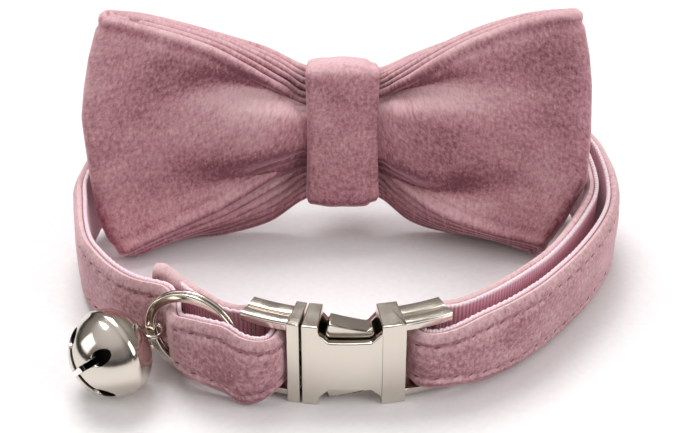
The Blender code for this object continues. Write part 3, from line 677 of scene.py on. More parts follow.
@dataclass
class StrapRoute:
    """The strap's middle line, in the order in which it is sewn, in millimetres.

    Each row holds right, back, height, lean outward in degrees and share of the full width.
    """

    width: float = 12.6
    thick: float = 2.3
    step: float = 0.55
    pass_shift: float = 3.0
    pass_steepness: float = 0.55
    pass_before: float = 2.9
    pass_behind: float = 3.65
    pass_droop: float = 0.08
    keeper_depth: float = 7.1
    keeper_reach: float = 6.8
    slide_reach: float = 4.25
    slide_place: Triple = (30.01, 56.11, 13.01)
    slide_lean_deg: float = 10.0
    slide_offset: float = 3.5
    rows: list[Row] = field(default_factory=list)
    stations: list[Station] = field(default_factory=list)

    def __post_init__(self) -> None:
        """Join the route's stretches and read the smooth curve through them."""
        self.rows = (self.fold_back() + self.ring_pass() + self.left_side() + self.keeper()
                     + self.right_side() + self.return_run())
        self.stations = self.sample()

    def fold_back(self) -> list[Row]:
        """List the hidden end and its wrap round the left end bar.

        Returns:
            Rows of the route.
        """
        return [
            (-29.0, 16.4, 7.5, 0.0, 1.05), (-27.6, 15.9, 7.6, 0.0, 1.10),
            (-25.8, 14.7, 7.4, 0.0, 1.05), (-23.6, 12.7, 7.0, 0.0, 0.97),
            (-21.2, 10.6, 7.0, 0.0, 0.94), (-18.6, 8.8, 7.1, 0.0, 0.86),
            (-16.0, 8.1, 7.15, 0.0, 0.80), (-13.2, 8.4, 7.15, 0.0, 0.79),
            (-11.0, 7.8, 7.15, 0.0, 0.79), (-9.9, 5.5, 7.15, 0.0, 0.79),
            (-10.0, 3.0, 7.15, 0.0, 0.79), (-11.2, 0.9, 7.0, 0.0, 0.80),
            (-13.2, 0.0, 6.7, 0.0, 0.90), (-15.4, 0.55, 6.5, 0.0, 0.98),
        ]

    def ring_pass(self) -> list[Row]:
        """Lead the strap from before the split ring to behind it.

        Returns:
            Rows of the route.
        """
        yaw = math.radians(RING_YAW_DEG)
        along = Vector((math.cos(yaw), math.sin(yaw)))
        inward = Vector((-along.y, along.x))
        rows = []
        for run, share in ((6.6, 0.98), (4.0, 0.95), (1.6, 0.91), (0.0, 0.86), (-1.2, 0.80),
                           (-2.1, 0.77), (-3.0, 0.76), (-3.9, 0.77), (-5.0, 0.80), (-6.6, 0.90)):
            through = math.tanh(self.pass_steepness * (run + self.pass_shift))
            amount = self.pass_before if through > 0 else self.pass_behind
            place = Vector(RING_PLACE[:2]) + along * run - inward * amount * through
            height = RING_PLACE[2] - self.pass_droop * abs(run)
            rows.append((place.x, place.y, height, 0.0, share))
        return rows

    def left_side(self) -> list[Row]:
        """List the left of the loop, up to the bow's back.

        Returns:
            Rows of the route.
        """
        return [
            (-31.9, 14.2, 7.0, 0.0, 0.97), (-35.3, 17.0, 6.8, 0.0, 1.0),
            (-38.3, 20.8, 6.7, 0.0, 1.0), (-40.8, 25.0, 6.7, 0.0, 1.0),
            (-42.3, 30.0, 6.7, 0.0, 1.0), (-43.3, 36.0, 6.8, 0.5, 1.0),
            (-43.7, 42.0, 7.6, 2.0, 1.0), (-41.2, 48.0, 9.4, 5.0, 1.0),
            (-35.0, 52.0, 11.8, 9.0, 1.0), (-25.0, 53.6, 14.2, 13.0, 1.0),
            (-15.0, 54.7, 16.0, 15.0, 1.0),
        ]

    def keeper(self) -> list[Row]:
        """Lead the strap straight through the keeper.

        Returns:
            Three rows of the route.
        """
        lean = math.radians(BOW_LEAN_DEG)
        y = BOW_PLACE[1] + self.keeper_depth * math.cos(lean)
        height = BOW_PLACE[2] - self.keeper_depth * math.sin(lean)
        return [(BOW_PLACE[0] + reach, y, height, BOW_LEAN_DEG, 1.0)
                for reach in (-self.keeper_reach, 0.0, self.keeper_reach)]

    def slide(self, offset: float, heading: int) -> list[Row]:
        """Return a straight stretch inside the slide.

        Args:
            offset: Distance of the run from the outer run, towards the neck.
            heading: 1 to the right, -1 to the left.

        Returns:
            Three rows of the route.
        """
        lean = math.radians(self.slide_lean_deg)
        x, y, height = self.slide_place
        return [(x + heading * reach, y - offset * math.cos(lean),
                 height + offset * math.sin(lean), heading * self.slide_lean_deg, 1.0)
                for reach in (-self.slide_reach, 0.0, self.slide_reach)]

    def right_side(self) -> list[Row]:
        """List the outer run on the right, with its wrap round the right end bar.

        Returns:
            Rows of the route.
        """
        return [
            (13.5, 55.3, 15.8, 14.0, 1.0), (20.5, 56.0, 14.2, 12.0, 1.0),
            *self.slide(0.0, 1),
            (38.4, 54.2, 11.2, 8.0, 1.0), (42.0, 50.6, 9.6, 5.5, 1.0),
            (43.7, 45.8, 8.0, 3.0, 1.0), (44.0, 40.2, 7.0, 1.0, 1.0),
            (43.1, 35.0, 6.7, 0.0, 1.0), (40.6, 29.0, 6.7, 0.0, 1.0),
            (36.4, 21.9, 6.7, 0.0, 1.0), (31.6, 15.6, 6.7, 0.0, 1.0),
            (28.2, 11.8, 6.8, 0.0, 1.0), (24.2, 8.1, 6.9, 0.0, 1.0),
            (19.6, 4.9, 7.0, 0.0, 0.96), (16.2, 3.0, 7.15, 0.0, 0.84),
            (13.4, 2.1, 7.15, 0.0, 0.79), (11.2, 2.2, 7.15, 0.0, 0.79),
            (9.95, 3.7, 7.15, 0.0, 0.79), (9.9, 5.9, 7.15, 0.0, 0.79),
            (11.0, 8.1, 7.15, 0.0, 0.79), (13.4, 9.1, 7.15, 0.0, 0.79),
            (17.0, 9.6, 7.15, 0.0, 0.84),
        ]

    def return_run(self) -> list[Row]:
        """List the inner run on the right, back to the slide.

        Returns:
            Rows of the route.
        """
        return [
            (22.0, 12.2, 7.1, 0.0, 0.96), (27.0, 16.6, 7.0, 0.0, 1.0),
            (30.8, 20.9, 6.9, 0.0, 1.0), (34.6, 26.6, 6.8, 0.0, 1.0),
            (38.0, 33.0, 6.7, 0.0, 1.0), (40.3, 38.6, 6.9, -0.5, 1.0),
            (40.7, 43.6, 7.6, -2.0, 1.0), (39.4, 48.4, 9.4, -5.0, 1.0),
            (36.9, 51.4, 11.4, -8.0, 1.0),
            *self.slide(self.slide_offset, -1),
        ]

    def read(self, index: int, share: float) -> list[float]:
        """Read the smooth curve between two rows.

        Args:
            index: The first of the two rows.
            share: How far towards the second.

        Returns:
            The interpolated row.
        """
        last = len(self.rows) - 1
        return smooth_read(
            [self.rows[min(max(index + k, 0), last)] for k in (-1, 0, 1, 2)], share)

    def sample(self) -> list[Station]:
        """Walk along the whole strap.

        Returns:
            Stations about one step apart.
        """
        samples = []
        for index in range(len(self.rows) - 1):
            start = Vector(self.rows[index][:2])
            length = (Vector(self.rows[index + 1][:2]) - start).length
            count = max(2, math.ceil(length / self.step))
            samples += [self.read(index, k / count) for k in range(count)]
        samples.append(list(self.rows[-1]))
        stations = []
        run = 0.0
        for index, sample in enumerate(samples):
            before = samples[max(index - 1, 0)]
            after = samples[min(index + 1, len(samples) - 1)]
            run += (Vector(sample[:3]) - Vector(before[:3])).length
            flat = (Vector(after[:2]) - Vector(before[:2])).normalized()
            outward = Vector((-flat.y, flat.x, 0.0))
            lean = math.radians(sample[3])
            up = Vector((0, 0, math.cos(lean))) + outward * math.sin(lean)
            side = outward * math.cos(lean) - Vector((0, 0, math.sin(lean)))
            stations.append(Station(Vector(sample[:3]) + BUCKLE_ORIGIN, Vector((*flat, 0.0)),
                                    up, side, sample[4] * self.width, run))
        return stations


@dataclass
class Strap:
    """The sewn strap: a rolled velvet cover, its ribbed lining and two rows of stitches."""

    route: StrapRoute
    velvet: Material
    webbing: Material
    thread: Material
    velvet_wall: float = 1.5
    webbing_wall: float = 0.65
    webbing_inset: float = 0.1
    pile_puff: float = 0.16
    seam_inset: float = 2.1
    seam_depth: float = 0.34
    seam_width: float = 0.55
    stitch_pitch: float = 2.6
    stitch_length: float = 1.15
    stitch_radius: float = 0.17
    stitch_slant_deg: float = 14.0
    picot_pitch: float = 1.05
    picot_rise: float = 0.26
    hem_length: float = 7.0
    hem_puff: float = 0.5
    hem_wrap: float = 1.1
    brush_depth: float = 0.10
    fuzz_depth: float = 0.035
    edge_wander: float = 0.12
    lining_start: float = 0.8
    rim_inset: float = 0.25
    rim_round: float = 0.22
    rim_chamfer: Pair = (0.08, 0.05)
    stitch_sink: float = 0.02
    smooth_deg: float = 60.0

    def build(self) -> None:
        """Make the cover, the lining and the stitches."""
        self.cover()
        self.lining()
        self.stitches()

    def stitch_run(self, run: float) -> float:
        """Tell how near a stitch's middle a place is.

        Args:
            run: The place's way along the strap.

        Returns:
            From 0 between two stitches to 1 in the middle of one.
        """
        phase = (run / self.stitch_pitch) % 1.0
        return max(0.0, math.cos(2 * math.pi * (phase - 0.5))) ** 0.7

    def pile_offset(self, station: Station, rise: float) -> float:
        """Return how far the pile stands from the strap's middle at a height.

        Args:
            station: The place along the strap.
            rise: Height from the strap's middle line, in millimetres.

        Returns:
            The distance, in millimetres.
        """
        half = station.width / 2
        crown = self.pile_puff * (1 - (rise / half) ** 2)
        off = self.route.thick / 2 + crown
        seam = half - self.seam_inset
        sunk = math.exp(-((abs(rise) - seam) / self.seam_width) ** 2)
        off -= self.seam_depth * sunk * (0.55 + 0.45 * self.stitch_run(station.run))
        # Patches some 6 mm long where the pile is brushed up, then its fuzz of about 0.5 mm.
        brushed = noise.noise(Vector((station.run * 0.16, rise * 0.25, 3.0)))
        fuzz = noise.noise(Vector((station.run * 2.1, rise * 2.1, 9.0)))
        return off + self.brush_depth * brushed + self.fuzz_depth * fuzz

    def sweep(
        self,
        name: str,
        stations: list[Station],
        sections: list[list[Pair]],
        wander: float,
        stretch: bool,
    ) -> Piece:
        """Sweep a closed outline along the strap.

        Args:
            name: The piece's name.
            stations: The places along the strap.
            sections: Each place's outline, as distances outward and upward.
            wander: How far the long edges stray, in millimetres.
            stretch: Whether the pattern narrows with the strap.

        Returns:
            The piece.
        """
        count = len(sections[0])

        def place(column: int, row: int) -> Vector:
            station = stations[column]
            off, rise = sections[column][row % count]
            if wander:
                spot = Vector((station.run * 0.09, math.copysign(5.0, rise), 1.0))
                rise += wander * noise.noise(spot) * abs(rise) / (station.width / 2)
            return on_floor(station.place + station.side * off + station.up * rise)

        def mark(column: int, row: int) -> Pair:
            station = stations[column]
            rise = sections[column][row % count][1]
            return (station.run, rise * self.route.width / station.width if stretch else rise)

        return shaped_grid(name, len(stations) - 1, count, place, mark)

    def cover_section(self, station: Station) -> list[Pair]:
        """Outline the velvet, whose edges are rolled under, with its hem at the hidden end.

        Args:
            station: The place along the strap.

        Returns:
            Distances outward and upward from the strap's middle line.
        """
        face_steps = 26
        edge_steps = 5
        half = station.width / 2
        share = max(0.0, 1 - (station.run / self.hem_length) ** 4) ** 0.5
        hem = self.hem_puff * share
        inner = self.route.thick / 2 - self.velvet_wall - self.hem_wrap * share
        radius = (self.velvet_wall + hem + self.hem_wrap * share) / 2 + 0.02
        foot = quarter_turn((inner + radius, -half + radius), radius, 180, 270, edge_steps)
        rises = [-half + radius + (2 * half - 2 * radius) * k / face_steps
                 for k in range(1, face_steps)]
        face = [(self.pile_offset(station, rise) + hem, rise) for rise in rises]
        return foot + face + quarter_turn(
            (inner + radius, half - radius), radius, 90, 180, edge_steps)

    def cover(self) -> None:
        """Make the velvet."""
        stations = self.route.stations
        piece = self.sweep("velvet_cover", stations, [
            self.cover_section(station) for station in stations], self.edge_wander, False)
        coat(piece, self.smooth_deg, self.velvet)
        cut = (self.route.width + 2 * self.velvet_wall, stations[-1].run)
        finish_piece(piece, Slot.VELVET, nodes=("strap_velvet",), cut_mm=cut)

    def lining_section(self, station: Station) -> list[Pair]:
        """Outline the ribbed ribbon, whose long edges are scalloped by its weft loops.

        Args:
            station: The place along the strap.

        Returns:
            Distances outward and upward from the strap's middle line.
        """
        steps = 8
        inner = -self.route.thick / 2 + self.webbing_inset
        outer = inner + self.webbing_wall
        half = station.width / 2
        loop = self.picot_rise * abs(math.sin(math.pi * station.run / self.picot_pitch))
        top = half - self.rim_inset + loop
        shy, low = self.rim_chamfer
        up = [(outer, -half + 2 * half * k / steps) for k in range(1, steps)]
        down = [(inner, half - 2 * half * k / steps) for k in range(1, steps)]
        rim = [(outer, top - self.rim_round), (outer - shy, top - low),
               ((inner + outer) / 2, top), (inner + shy, top - low),
               (inner, top - self.rim_round)]
        return up + rim + down + [(off, -rise) for off, rise in reversed(rim)]

    def lining(self) -> None:
        """Make the ribbed ribbon, which starts inside the hem."""
        stations = [station for station in self.route.stations
                    if station.run > self.hem_length * self.lining_start]
        piece = self.sweep("webbing_lining", stations, [
            self.lining_section(station) for station in stations], 0.0, True)
        coat(piece, self.smooth_deg, self.webbing)
        cut = (self.route.width, stations[-1].run - stations[0].run)
        finish_piece(piece, Slot.WEBBING, nodes=("strap_webbing",), cut_mm=cut)

    def stitches(self) -> None:
        """Sew two rows of short thread loops along the velvet, sunk into its seams."""
        loop = primitive("seam_stitches", bpy.ops.mesh.primitive_uv_sphere_add, segments=8,
                         ring_count=6, radius=1.0)
        loop.scale = (self.stitch_length / 2 * MM, self.stitch_radius * MM, self.stitch_radius * MM)
        apply_place(loop)
        copies = []
        target = self.stitch_pitch * 1.5
        for station in self.route.stations:
            if station.run < target:
                continue
            target += self.stitch_pitch
            for side in Side:
                rise = side.value * (station.width / 2 - self.seam_inset)
                off = self.pile_offset(station, rise) - self.stitch_sink
                place = station.place + station.side * off + station.up * rise
                turn = Matrix.Rotation(math.radians(self.stitch_slant_deg), 4, station.side)
                frame = Matrix((station.heading, station.up, station.side)).transposed().to_4x4()
                copy = loop.copy()
                copy.data = loop.data.copy()
                copy.matrix_world = Matrix.Translation(place * MM) @ turn @ frame
                bpy.context.scene.collection.objects.link(copy)
                copies.append(copy)
        remove(loop)
        for copy in copies:
            copy.select_set(True)
        bpy.context.view_layer.objects.active = copies[0]
        bpy.ops.object.join()
        piece = name_active("seam_stitches")
        apply_place(piece)
        coat(piece, self.smooth_deg, self.thread)
        finish_piece(piece, Slot.VELVET)


@dataclass(frozen=True)
class BandSection:
    """One place along the bow's band, from the middle of its front to that of its back.

    reach is a share of the lobe's reach, depth is millimetres towards the front, top and foot
    are shares of the bow's half height, and crease is how deep the two pleats are there.
    """

    reach: float
    depth: float
    top: float
    foot: float
    crease: float


@dataclass
class Bow:
    """The velvet bow: a folded outer band, two more inside it, the knot and the keeper."""

    nodes: dict[str, Piece]
    velvet: Material
    plain_velvet: Material
    half_height: float = 22.4
    left_reach: float = 41.9
    right_reach: float = 40.0
    wall: float = 1.5
    inner_wall: float = 0.95
    tip_step: float = 1.7
    pleat_depth: float = 4.0
    pleat_width: float = 1.0
    pleat_spread: float = 0.15
    pleat_start: float = 5.5
    pleat_fade: float = 42.0
    pleat_top: Pair = (0.80, 0.017)
    pleat_foot: Pair = (0.86, 0.014)
    puff: float = 1.9
    puff_place: float = 7.0
    puff_blur: float = 10.0
    wave_depth: float = 0.55
    ripple_depth: float = 0.12
    wave_start: float = 8.0
    hem_inset: float = 2.3
    hem_depth: float = 0.28
    hem_blur: float = 0.5
    thinnest: float = 0.15
    cut_width: float = 40.0
    steps: int = 7
    rows: int = 56
    sections: dict[Side, list[BandSection]] = field(default_factory=dict)
    outline: dict[Side, list[Pair]] = field(default_factory=dict)

    def __post_init__(self) -> None:
        """Fill in the band's sections and the outline of its ends."""
        depths = (1.50, 1.55, 2.90, 4.20, 5.00, 5.30, 5.90, 6.80, 6.70, 5.40, 4.10, 3.60, 1.10,
                  -1.20, -2.20, -2.40, -1.55, -1.50)
        reaches = (0.0, 0.15, 0.24, 0.36, 0.50, 0.66, 0.82, 0.93, 0.98, 1.0, 0.98, 0.93, 0.82,
                   0.66, 0.50, 0.30, 0.15, 0.0)
        creases = (0.0, 0.5, 1.0, 1.0, 0.8, 0.6, 0.3, 0.1) + (0.0,) * 10
        tops = {
            Side.LEFT: (0.25, 0.26, 0.38, 0.54, 0.69, 0.79, 0.865, 0.915, 0.935, 0.955, 0.955,
                        0.945, 0.905, 0.825, 0.74, 0.625, 0.50, 0.47),
            Side.RIGHT: (0.32, 0.33, 0.43, 0.585, 0.735, 0.85, 0.93, 0.965, 0.97, 0.97, 0.965,
                         0.955, 0.91, 0.825, 0.715, 0.58, 0.475, 0.46)}
        feet = {
            Side.LEFT: (-0.20, -0.21, -0.295, -0.42, -0.56, -0.68, -0.785, -0.84, -0.865, -0.895,
                        -0.91, -0.905, -0.88, -0.86, -0.84, -0.74, -0.545, -0.50),
            Side.RIGHT: (-0.28, -0.29, -0.41, -0.565, -0.67, -0.745, -0.785, -0.80, -0.815, -0.87,
                         -0.895, -0.90, -0.88, -0.86, -0.84, -0.745, -0.53, -0.49)}
        self.sections = {side: [BandSection(*row) for row in zip(
            reaches, depths, tops[side], feet[side], creases)] for side in Side}
        self.outline = {
            Side.LEFT: [(-1.0, 0.868), (-0.83, 0.925), (-0.635, 0.961), (-0.33, 0.98),
                        (0.16, 1.0), (0.4, 0.984), (0.635, 0.96), (0.87, 0.925), (1.0, 0.905)],
            Side.RIGHT: [(-1.0, 0.82), (-0.69, 0.92), (-0.38, 0.995), (0.0, 1.0), (0.4, 0.992),
                         (0.635, 0.976), (0.87, 0.95), (1.0, 0.935)]}

    def build(self) -> None:
        """Make the bands and the knot, and dress the hidden keeper in the bow's velvet."""
        self.band("bow_fold", 0.0, self.wall, ("bow_loops",))
        self.band("bow_second_fold", 0.2, self.inner_wall, ())
        self.band("bow_third_fold", 0.4, self.inner_wall, ())
        Knot(self.matrix(), self.velvet).build()
        paint(self.nodes["bow_keeper"], self.plain_velvet)

    def matrix(self) -> Matrix:
        """Place the bow.

        Returns:
            Its own frame in the collar's, in millimetres.
        """
        place = Vector(BOW_PLACE) + BUCKLE_ORIGIN
        return Matrix.Translation(place) @ Matrix.Rotation(-math.radians(BOW_LEAN_DEG), 4, 'X')

    def tip_reach(self, height: float, side: Side) -> float:
        """Read how far a lobe reaches at a height.

        Args:
            height: From -1 at its foot to 1 at its top.
            side: The lobe.

        Returns:
            The share of the lobe's full reach.
        """
        outline = self.outline[side]
        for (low, first), (high, second) in zip(outline, outline[1:]):
            if height <= high:
                share = (height - low) / (high - low)
                return first + (second - first) * share
        return outline[-1][1]

    def nested(self, side: Side, share: float) -> list[BandSection]:
        """Return a lobe's sections for a band that lies inside the outer one.

        Args:
            side: The lobe.
            share: How far in it lies, from 0 to 0.5, where front and back would meet.

        Returns:
            The sections, from the middle of the front to that of the back.
        """
        outer = self.sections[side]
        tip = max(range(len(outer)), key=lambda index: outer[index].reach)
        reach = self.left_reach if side is Side.LEFT else self.right_reach
        shorter = 1 - share * 5 * self.tip_step / reach
        found = []
        for index, section in enumerate(outer):
            branch = outer[tip:] if index < tip else outer[:tip + 1]
            pairs = zip(branch, branch[1:])
            first, second = next(
                (pair for pair in pairs
                 if min(pair[0].reach, pair[1].reach) <= section.reach
                 <= max(pair[0].reach, pair[1].reach)), (branch[0], branch[0]))
            span = second.reach - first.reach
            place = (section.reach - first.reach) / span if span else 0.0
            mixed = []
            for key in ("depth", "top", "foot", "crease"):
                across = getattr(first, key) + (getattr(second, key) - getattr(first, key)) * place
                own = getattr(section, key)
                mixed.append(own + (across - own) * share)
            found.append(BandSection(section.reach * shorter, *mixed))
        return found

    def loop(self, share: float) -> list[tuple[BandSection, float, Side]]:
        """Return a closed band as sections with their lobe's reach and side.

        Args:
            share: How far inside the outer band it lies.

        Returns:
            The sections, round by the right lobe and back by the left.
        """
        right = [(section, self.right_reach, Side.RIGHT)
                 for section in self.nested(Side.RIGHT, share)]
        left = [(section, self.left_reach, Side.LEFT)
                for section in reversed(self.nested(Side.LEFT, share)[1:-1])]
        return right + left

    def pleats(self, row: float, away: float, half: float) -> float:
        """Return how far the two pleats sink the cloth, from 0 to 1.

        Args:
            row: From -1 at the foot edge to 1 at the top edge.
            away: Distance from the knot, in millimetres.
            half: Half the cloth's height there.

        Returns:
            The depth as a share of the deepest place.
        """
        start, drift = self.pleat_top if row > 0 else self.pleat_foot
        line = start - drift * away
        width = self.pleat_width + self.pleat_spread * away
        fade = max(0.0, 1 - away / (self.pleat_fade - self.pleat_start))
        return fade * math.exp(-((abs(row) - line) * half / width) ** 2)

    def middle(
        self, loop: list[tuple[BandSection, float, Side]], turn: float, row: float
    ) -> Vector:
        """Return a point of a band's middle surface, in the bow's frame.

        Args:
            loop: The band's sections.
            turn: Place along the closed loop of sections, in sections.
            row: From -1 at the foot edge to 1 at the top edge.

        Returns:
            The point, in millimetres.
        """
        count = len(loop)
        index = math.floor(turn)
        share = turn - index
        picked = []
        for k in (-1, 0, 1, 2):
            section, reach, side = loop[(index + k) % count]
            picked.append((side.value * reach * section.reach, section.depth, section.top,
                           section.foot, section.crease, section.reach))
        x, depth, top, foot, crease, out = smooth_read(picked, share)
        front = max(0.0, min(1.0, crease))
        rise = self.half_height * ((top + foot) / 2 + (top - foot) / 2 * row)
        tip = self.tip_reach(row, Side.LEFT if x < 0 else Side.RIGHT)
        across = x * (1 - (1 - tip) * abs(out) ** 3)
        away = max(0.0, abs(across) - self.pleat_start)
        half = self.half_height * (top - foot) / 2
        depth -= front * self.pleat_depth * self.pleats(row, away, half)
        swell = math.exp(-((away - self.puff_place) / self.puff_blur) ** 2)
        depth += front * self.puff * (1 - row ** 2) * swell
        # Broad waves some 14 mm across, then ripples of about 4 mm.
        wave = noise.noise(Vector((across * 0.07, rise * 0.08, 2.0 + depth * 0.02)))
        ripple = noise.noise(Vector((across * 0.22, rise * 0.25, 7.0)))
        uneven = self.wave_depth * wave + self.ripple_depth * ripple
        depth += uneven * min(1.0, away / self.wave_start)
        return Vector((across, -depth, rise))

    def band(self, name: str, inset: float, wall: float, nodes: tuple[str, ...]) -> None:
        """Make one closed band of cloth with rolled, hemmed edges.

        Args:
            name: The piece's name.
            inset: How far in it lies, from 0 to 0.5, where front and back would meet.
            wall: The cloth's thickness.
            nodes: The CAD nodes that it replaces.
        """
        loop = self.loop(inset)
        columns = len(loop) * self.steps
        rows = self.rows
        turns = [column / self.steps for column in range(columns)]
        grid = [[self.middle(loop, turn, 2 * row / rows - 1) for row in range(rows + 1)]
                for turn in turns]
        runs = [0.0]
        for first, second in zip(grid, grid[1:] + grid[:1]):
            runs.append(runs[-1] + (second[rows // 2] - first[rows // 2]).length)
        place_bow = self.matrix()
        skin: list[list[Vector]] = []
        heights: list[list[float]] = []
        for index, column in enumerate(grid):
            before = grid[index - 1]
            after = grid[(index + 1) % columns]
            outer = []
            inner = []
            for row, point in enumerate(column):
                along = after[row] - before[row]
                rising = column[min(row + 1, rows)] - column[max(row - 1, 0)]
                normal = along.cross(rising).normalized()
                edge = (point - column[rows if row > rows / 2 else 0]).length
                thick = wall / 2 * max(self.thinnest, rolled(edge, wall / 2))
                hem = 0.0
                if not inset:
                    near = (edge - self.hem_inset) / self.hem_blur
                    hem = math.exp(-near ** 2) * self.hem_depth
                outer.append(on_floor(place_bow @ (point + normal * (thick - hem))))
                inner.append(on_floor(place_bow @ (point - normal * thick)))
            skin.append(outer + inner[::-1])
            heights.append([(point - column[0]).length for point in column])
            heights[-1] += heights[-1][::-1]
        around = len(skin[0])

        def place(column: int, row: int) -> Vector:
            return skin[column % columns][row % around]

        def mark(column: int, row: int) -> Pair:
            return (runs[column], heights[column % columns][row % around])

        piece = shaped_grid(name, columns, around, place, mark)
        coat(piece, 70, self.velvet)
        finish_piece(piece, Slot.VELVET, nodes=nodes, cut_mm=(self.cut_width, runs[-1]))


@dataclass
class Knot:
    """The strip wound round the bow's middle, with the hem of its overlap at the right.

    Its inner line is a rectangle whose corners the cloth goes round in arcs.
    """

    frame: Matrix
    velvet: Material
    half_depth: float = 2.6
    half_height: float = 10.2
    half_width: float = 6.1
    corner: float = 1.6
    edge_roll: float = 0.8
    hem_place: float = 4.4
    hem_blur: float = 0.12
    hem_step: float = 0.5
    standoff: float = 0.25
    wall: float = 1.0
    puff: float = 0.62
    dent: float = 0.16
    waist: float = 0.035
    inner_lift: float = 0.05
    around: int = 72
    across: int = 34

    def inner_line(self, run: float) -> tuple[float, float, float, float]:
        """Read the inner line.

        Args:
            run: The way round it from the foot of its front.

        Returns:
            Depth and height of the place, then those of the direction that points outward.
        """
        corners = ((-self.half_depth, -self.half_height), (-self.half_depth, self.half_height),
                   (self.half_depth, self.half_height), (self.half_depth, -self.half_height))
        arc = math.pi / 2 * self.corner
        legs = (2 * self.half_height, arc, 2 * self.half_depth, arc) * 2
        turn = 0
        while run > legs[turn]:
            run -= legs[turn]
            turn += 1
        quarter = turn // 2
        angle = math.pi / 2 * quarter
        if turn % 2:
            depth, height = corners[(quarter + 1) % 4]
            angle += run / self.corner
        else:
            depth, height = corners[quarter]
            depth += math.sin(angle) * run
            height += math.cos(angle) * run
        return depth, height, -math.cos(angle), math.sin(angle)

    def profile(self, side: float, depth: float, height: float) -> Pair:
        """Shape the strip across its width.

        Args:
            side: From -1 at its left edge to 1 at its right edge.
            depth: Depth of the place on the inner line.
            height: Its height.

        Returns:
            The distance to the right, and how far the cloth stands off the inner line.
        """
        x = side * self.half_width
        round_off = rolled(self.half_width - abs(x), self.edge_roll)
        step = self.hem_step / (1 + math.exp((x - self.hem_place) / self.hem_blur))
        lap = step - self.hem_step / 2
        puff = self.puff * (1 - side ** 2)
        dents = self.dent * noise.noise(Vector((x * 0.35, height * 0.22, depth * 0.3)))
        taper = 1 - self.waist * math.cos(math.pi * height / (2 * self.half_height))
        return x * taper, self.standoff + (self.wall + puff + lap + dents) * round_off

    def build(self) -> None:
        """Lay the strip round the inner line and close it behind."""
        arc = math.pi / 2 * self.corner
        length = 2 * (2 * self.half_depth + 2 * self.half_height) + 4 * arc
        line = [self.inner_line(length * index / self.around) for index in range(self.around)]

        def place(column: int, row: int) -> Vector:
            depth, height, out_depth, out_height = line[column % self.around]
            row %= self.across + 2
            x, lift = 0.0, self.inner_lift
            if row <= self.across:
                x, lift = self.profile(2 * row / self.across - 1, depth, height)
            return self.frame @ Vector((x, depth + out_depth * lift, height + out_height * lift))

        def mark(column: int, row: int) -> Pair:
            return (row / self.across * 2 * self.half_width, length * column / self.around)

        piece = shaped_grid("bow_knot_wrap", self.around, self.across + 2, place, mark)
        coat(piece, 60, self.velvet)
        finish_piece(piece, Slot.VELVET, nodes=("bow_knot",),
                     cut_mm=(2 * self.half_width, length))


@dataclass
class Buckle:
    """The curved side-release buckle and the hidden slide: polished castings."""

    nodes: dict[str, Piece]
    nickel: Material
    edge_round: float = 0.22
    bend_radius: float = 35.0
    arm_top: float = 13.7
    rail_height: float = 0.32
    rail_root: float = 0.3
    merge_distance: float = 1e-6
    flat_deg: float = 0.6
    edge_deg: float = 32.0
    smooth_deg: float = 40.0

    def build(self) -> None:
        """Make each casting with its edges rounded by polishing."""
        self.casting("buckle_socket", "buckle_female", COLLAR_BODY)
        self.casting("buckle_prong_half", "buckle_male", COLLAR_BODY)
        self.casting("lever_upper", "release_lever_top", "lever_top")
        self.casting("lever_lower", "release_lever_bottom", "lever_bottom")
        self.casting("strap_slide", "slide_adjuster", COLLAR_BODY)
        for name, start, end in (("rail_left", -16.4, -8.9), ("rail_right", 8.6, 16.2)):
            self.rail(name + "_front", start, end, 0.75, 2.45)
            self.rail(name + "_back", start, end, 2.95, 5.15)

    def rail(self, name: str, start: float, end: float, front: float, back: float) -> None:
        """Raise one of the two long ridges on top of a frame arm, with a groove between them.

        Args:
            name: The piece's name.
            start: The ridge's left end, in millimetres along the straight buckle.
            end: Its right end.
            front: Its near side, in millimetres behind the buckle's front.
            back: Its far side.
        """
        columns = 14
        corner = self.rail_height
        foot = self.arm_top - self.rail_root
        section = [
            (front, foot),
            *quarter_turn((front + corner, self.arm_top), corner, 180, 90, 5),
            *quarter_turn((back - corner, self.arm_top), corner, 90, 0, 5),
            (back, foot)]
        count = len(section)

        def place(column: int, row: int) -> Vector:
            angle = (start + (end - start) * column / columns) / self.bend_radius
            depth, height = section[row % count]
            radius = self.bend_radius - depth
            return BUCKLE_ORIGIN + Vector((
                radius * math.sin(angle), self.bend_radius - radius * math.cos(angle), height))

        piece = shaped_grid(name, columns, count, place, lambda column, row: (column, row))
        coat(piece, 50, self.nickel)
        finish_piece(piece, Slot.NICKEL)

    def casting(self, name: str, node: str, body: str) -> None:
        """Round the edges of a copy of one solid.

        Args:
            name: The piece's name.
            node: The CAD node that it stands for.
            body: The CAD body that carries it.
        """
        source = self.nodes[node]
        piece = bpy.data.objects.new(name, source.data.copy())
        bpy.context.scene.collection.objects.link(piece)
        take(piece)
        bpy.ops.object.mode_set(mode='EDIT')
        bpy.ops.mesh.select_all(action='SELECT')
        bpy.ops.mesh.remove_doubles(threshold=self.merge_distance)
        bpy.ops.mesh.dissolve_limited(angle_limit=math.radians(self.flat_deg))
        bpy.ops.object.mode_set(mode='OBJECT')
        apply_modifier(piece, 'BEVEL', {
            "width": self.edge_round * MM, "segments": 3, "limit_method": 'ANGLE',
            "angle_limit": math.radians(self.edge_deg), "use_clamp_overlap": False,
            "miter_outer": 'MITER_ARC'})
        smooth(piece, self.smooth_deg)
        apply_modifier(piece, 'WEIGHTED_NORMAL', {"keep_sharp": True, "weight": 100})
        paint(piece, self.nickel)
        finish_piece(piece, Slot.NICKEL, body, (node,))


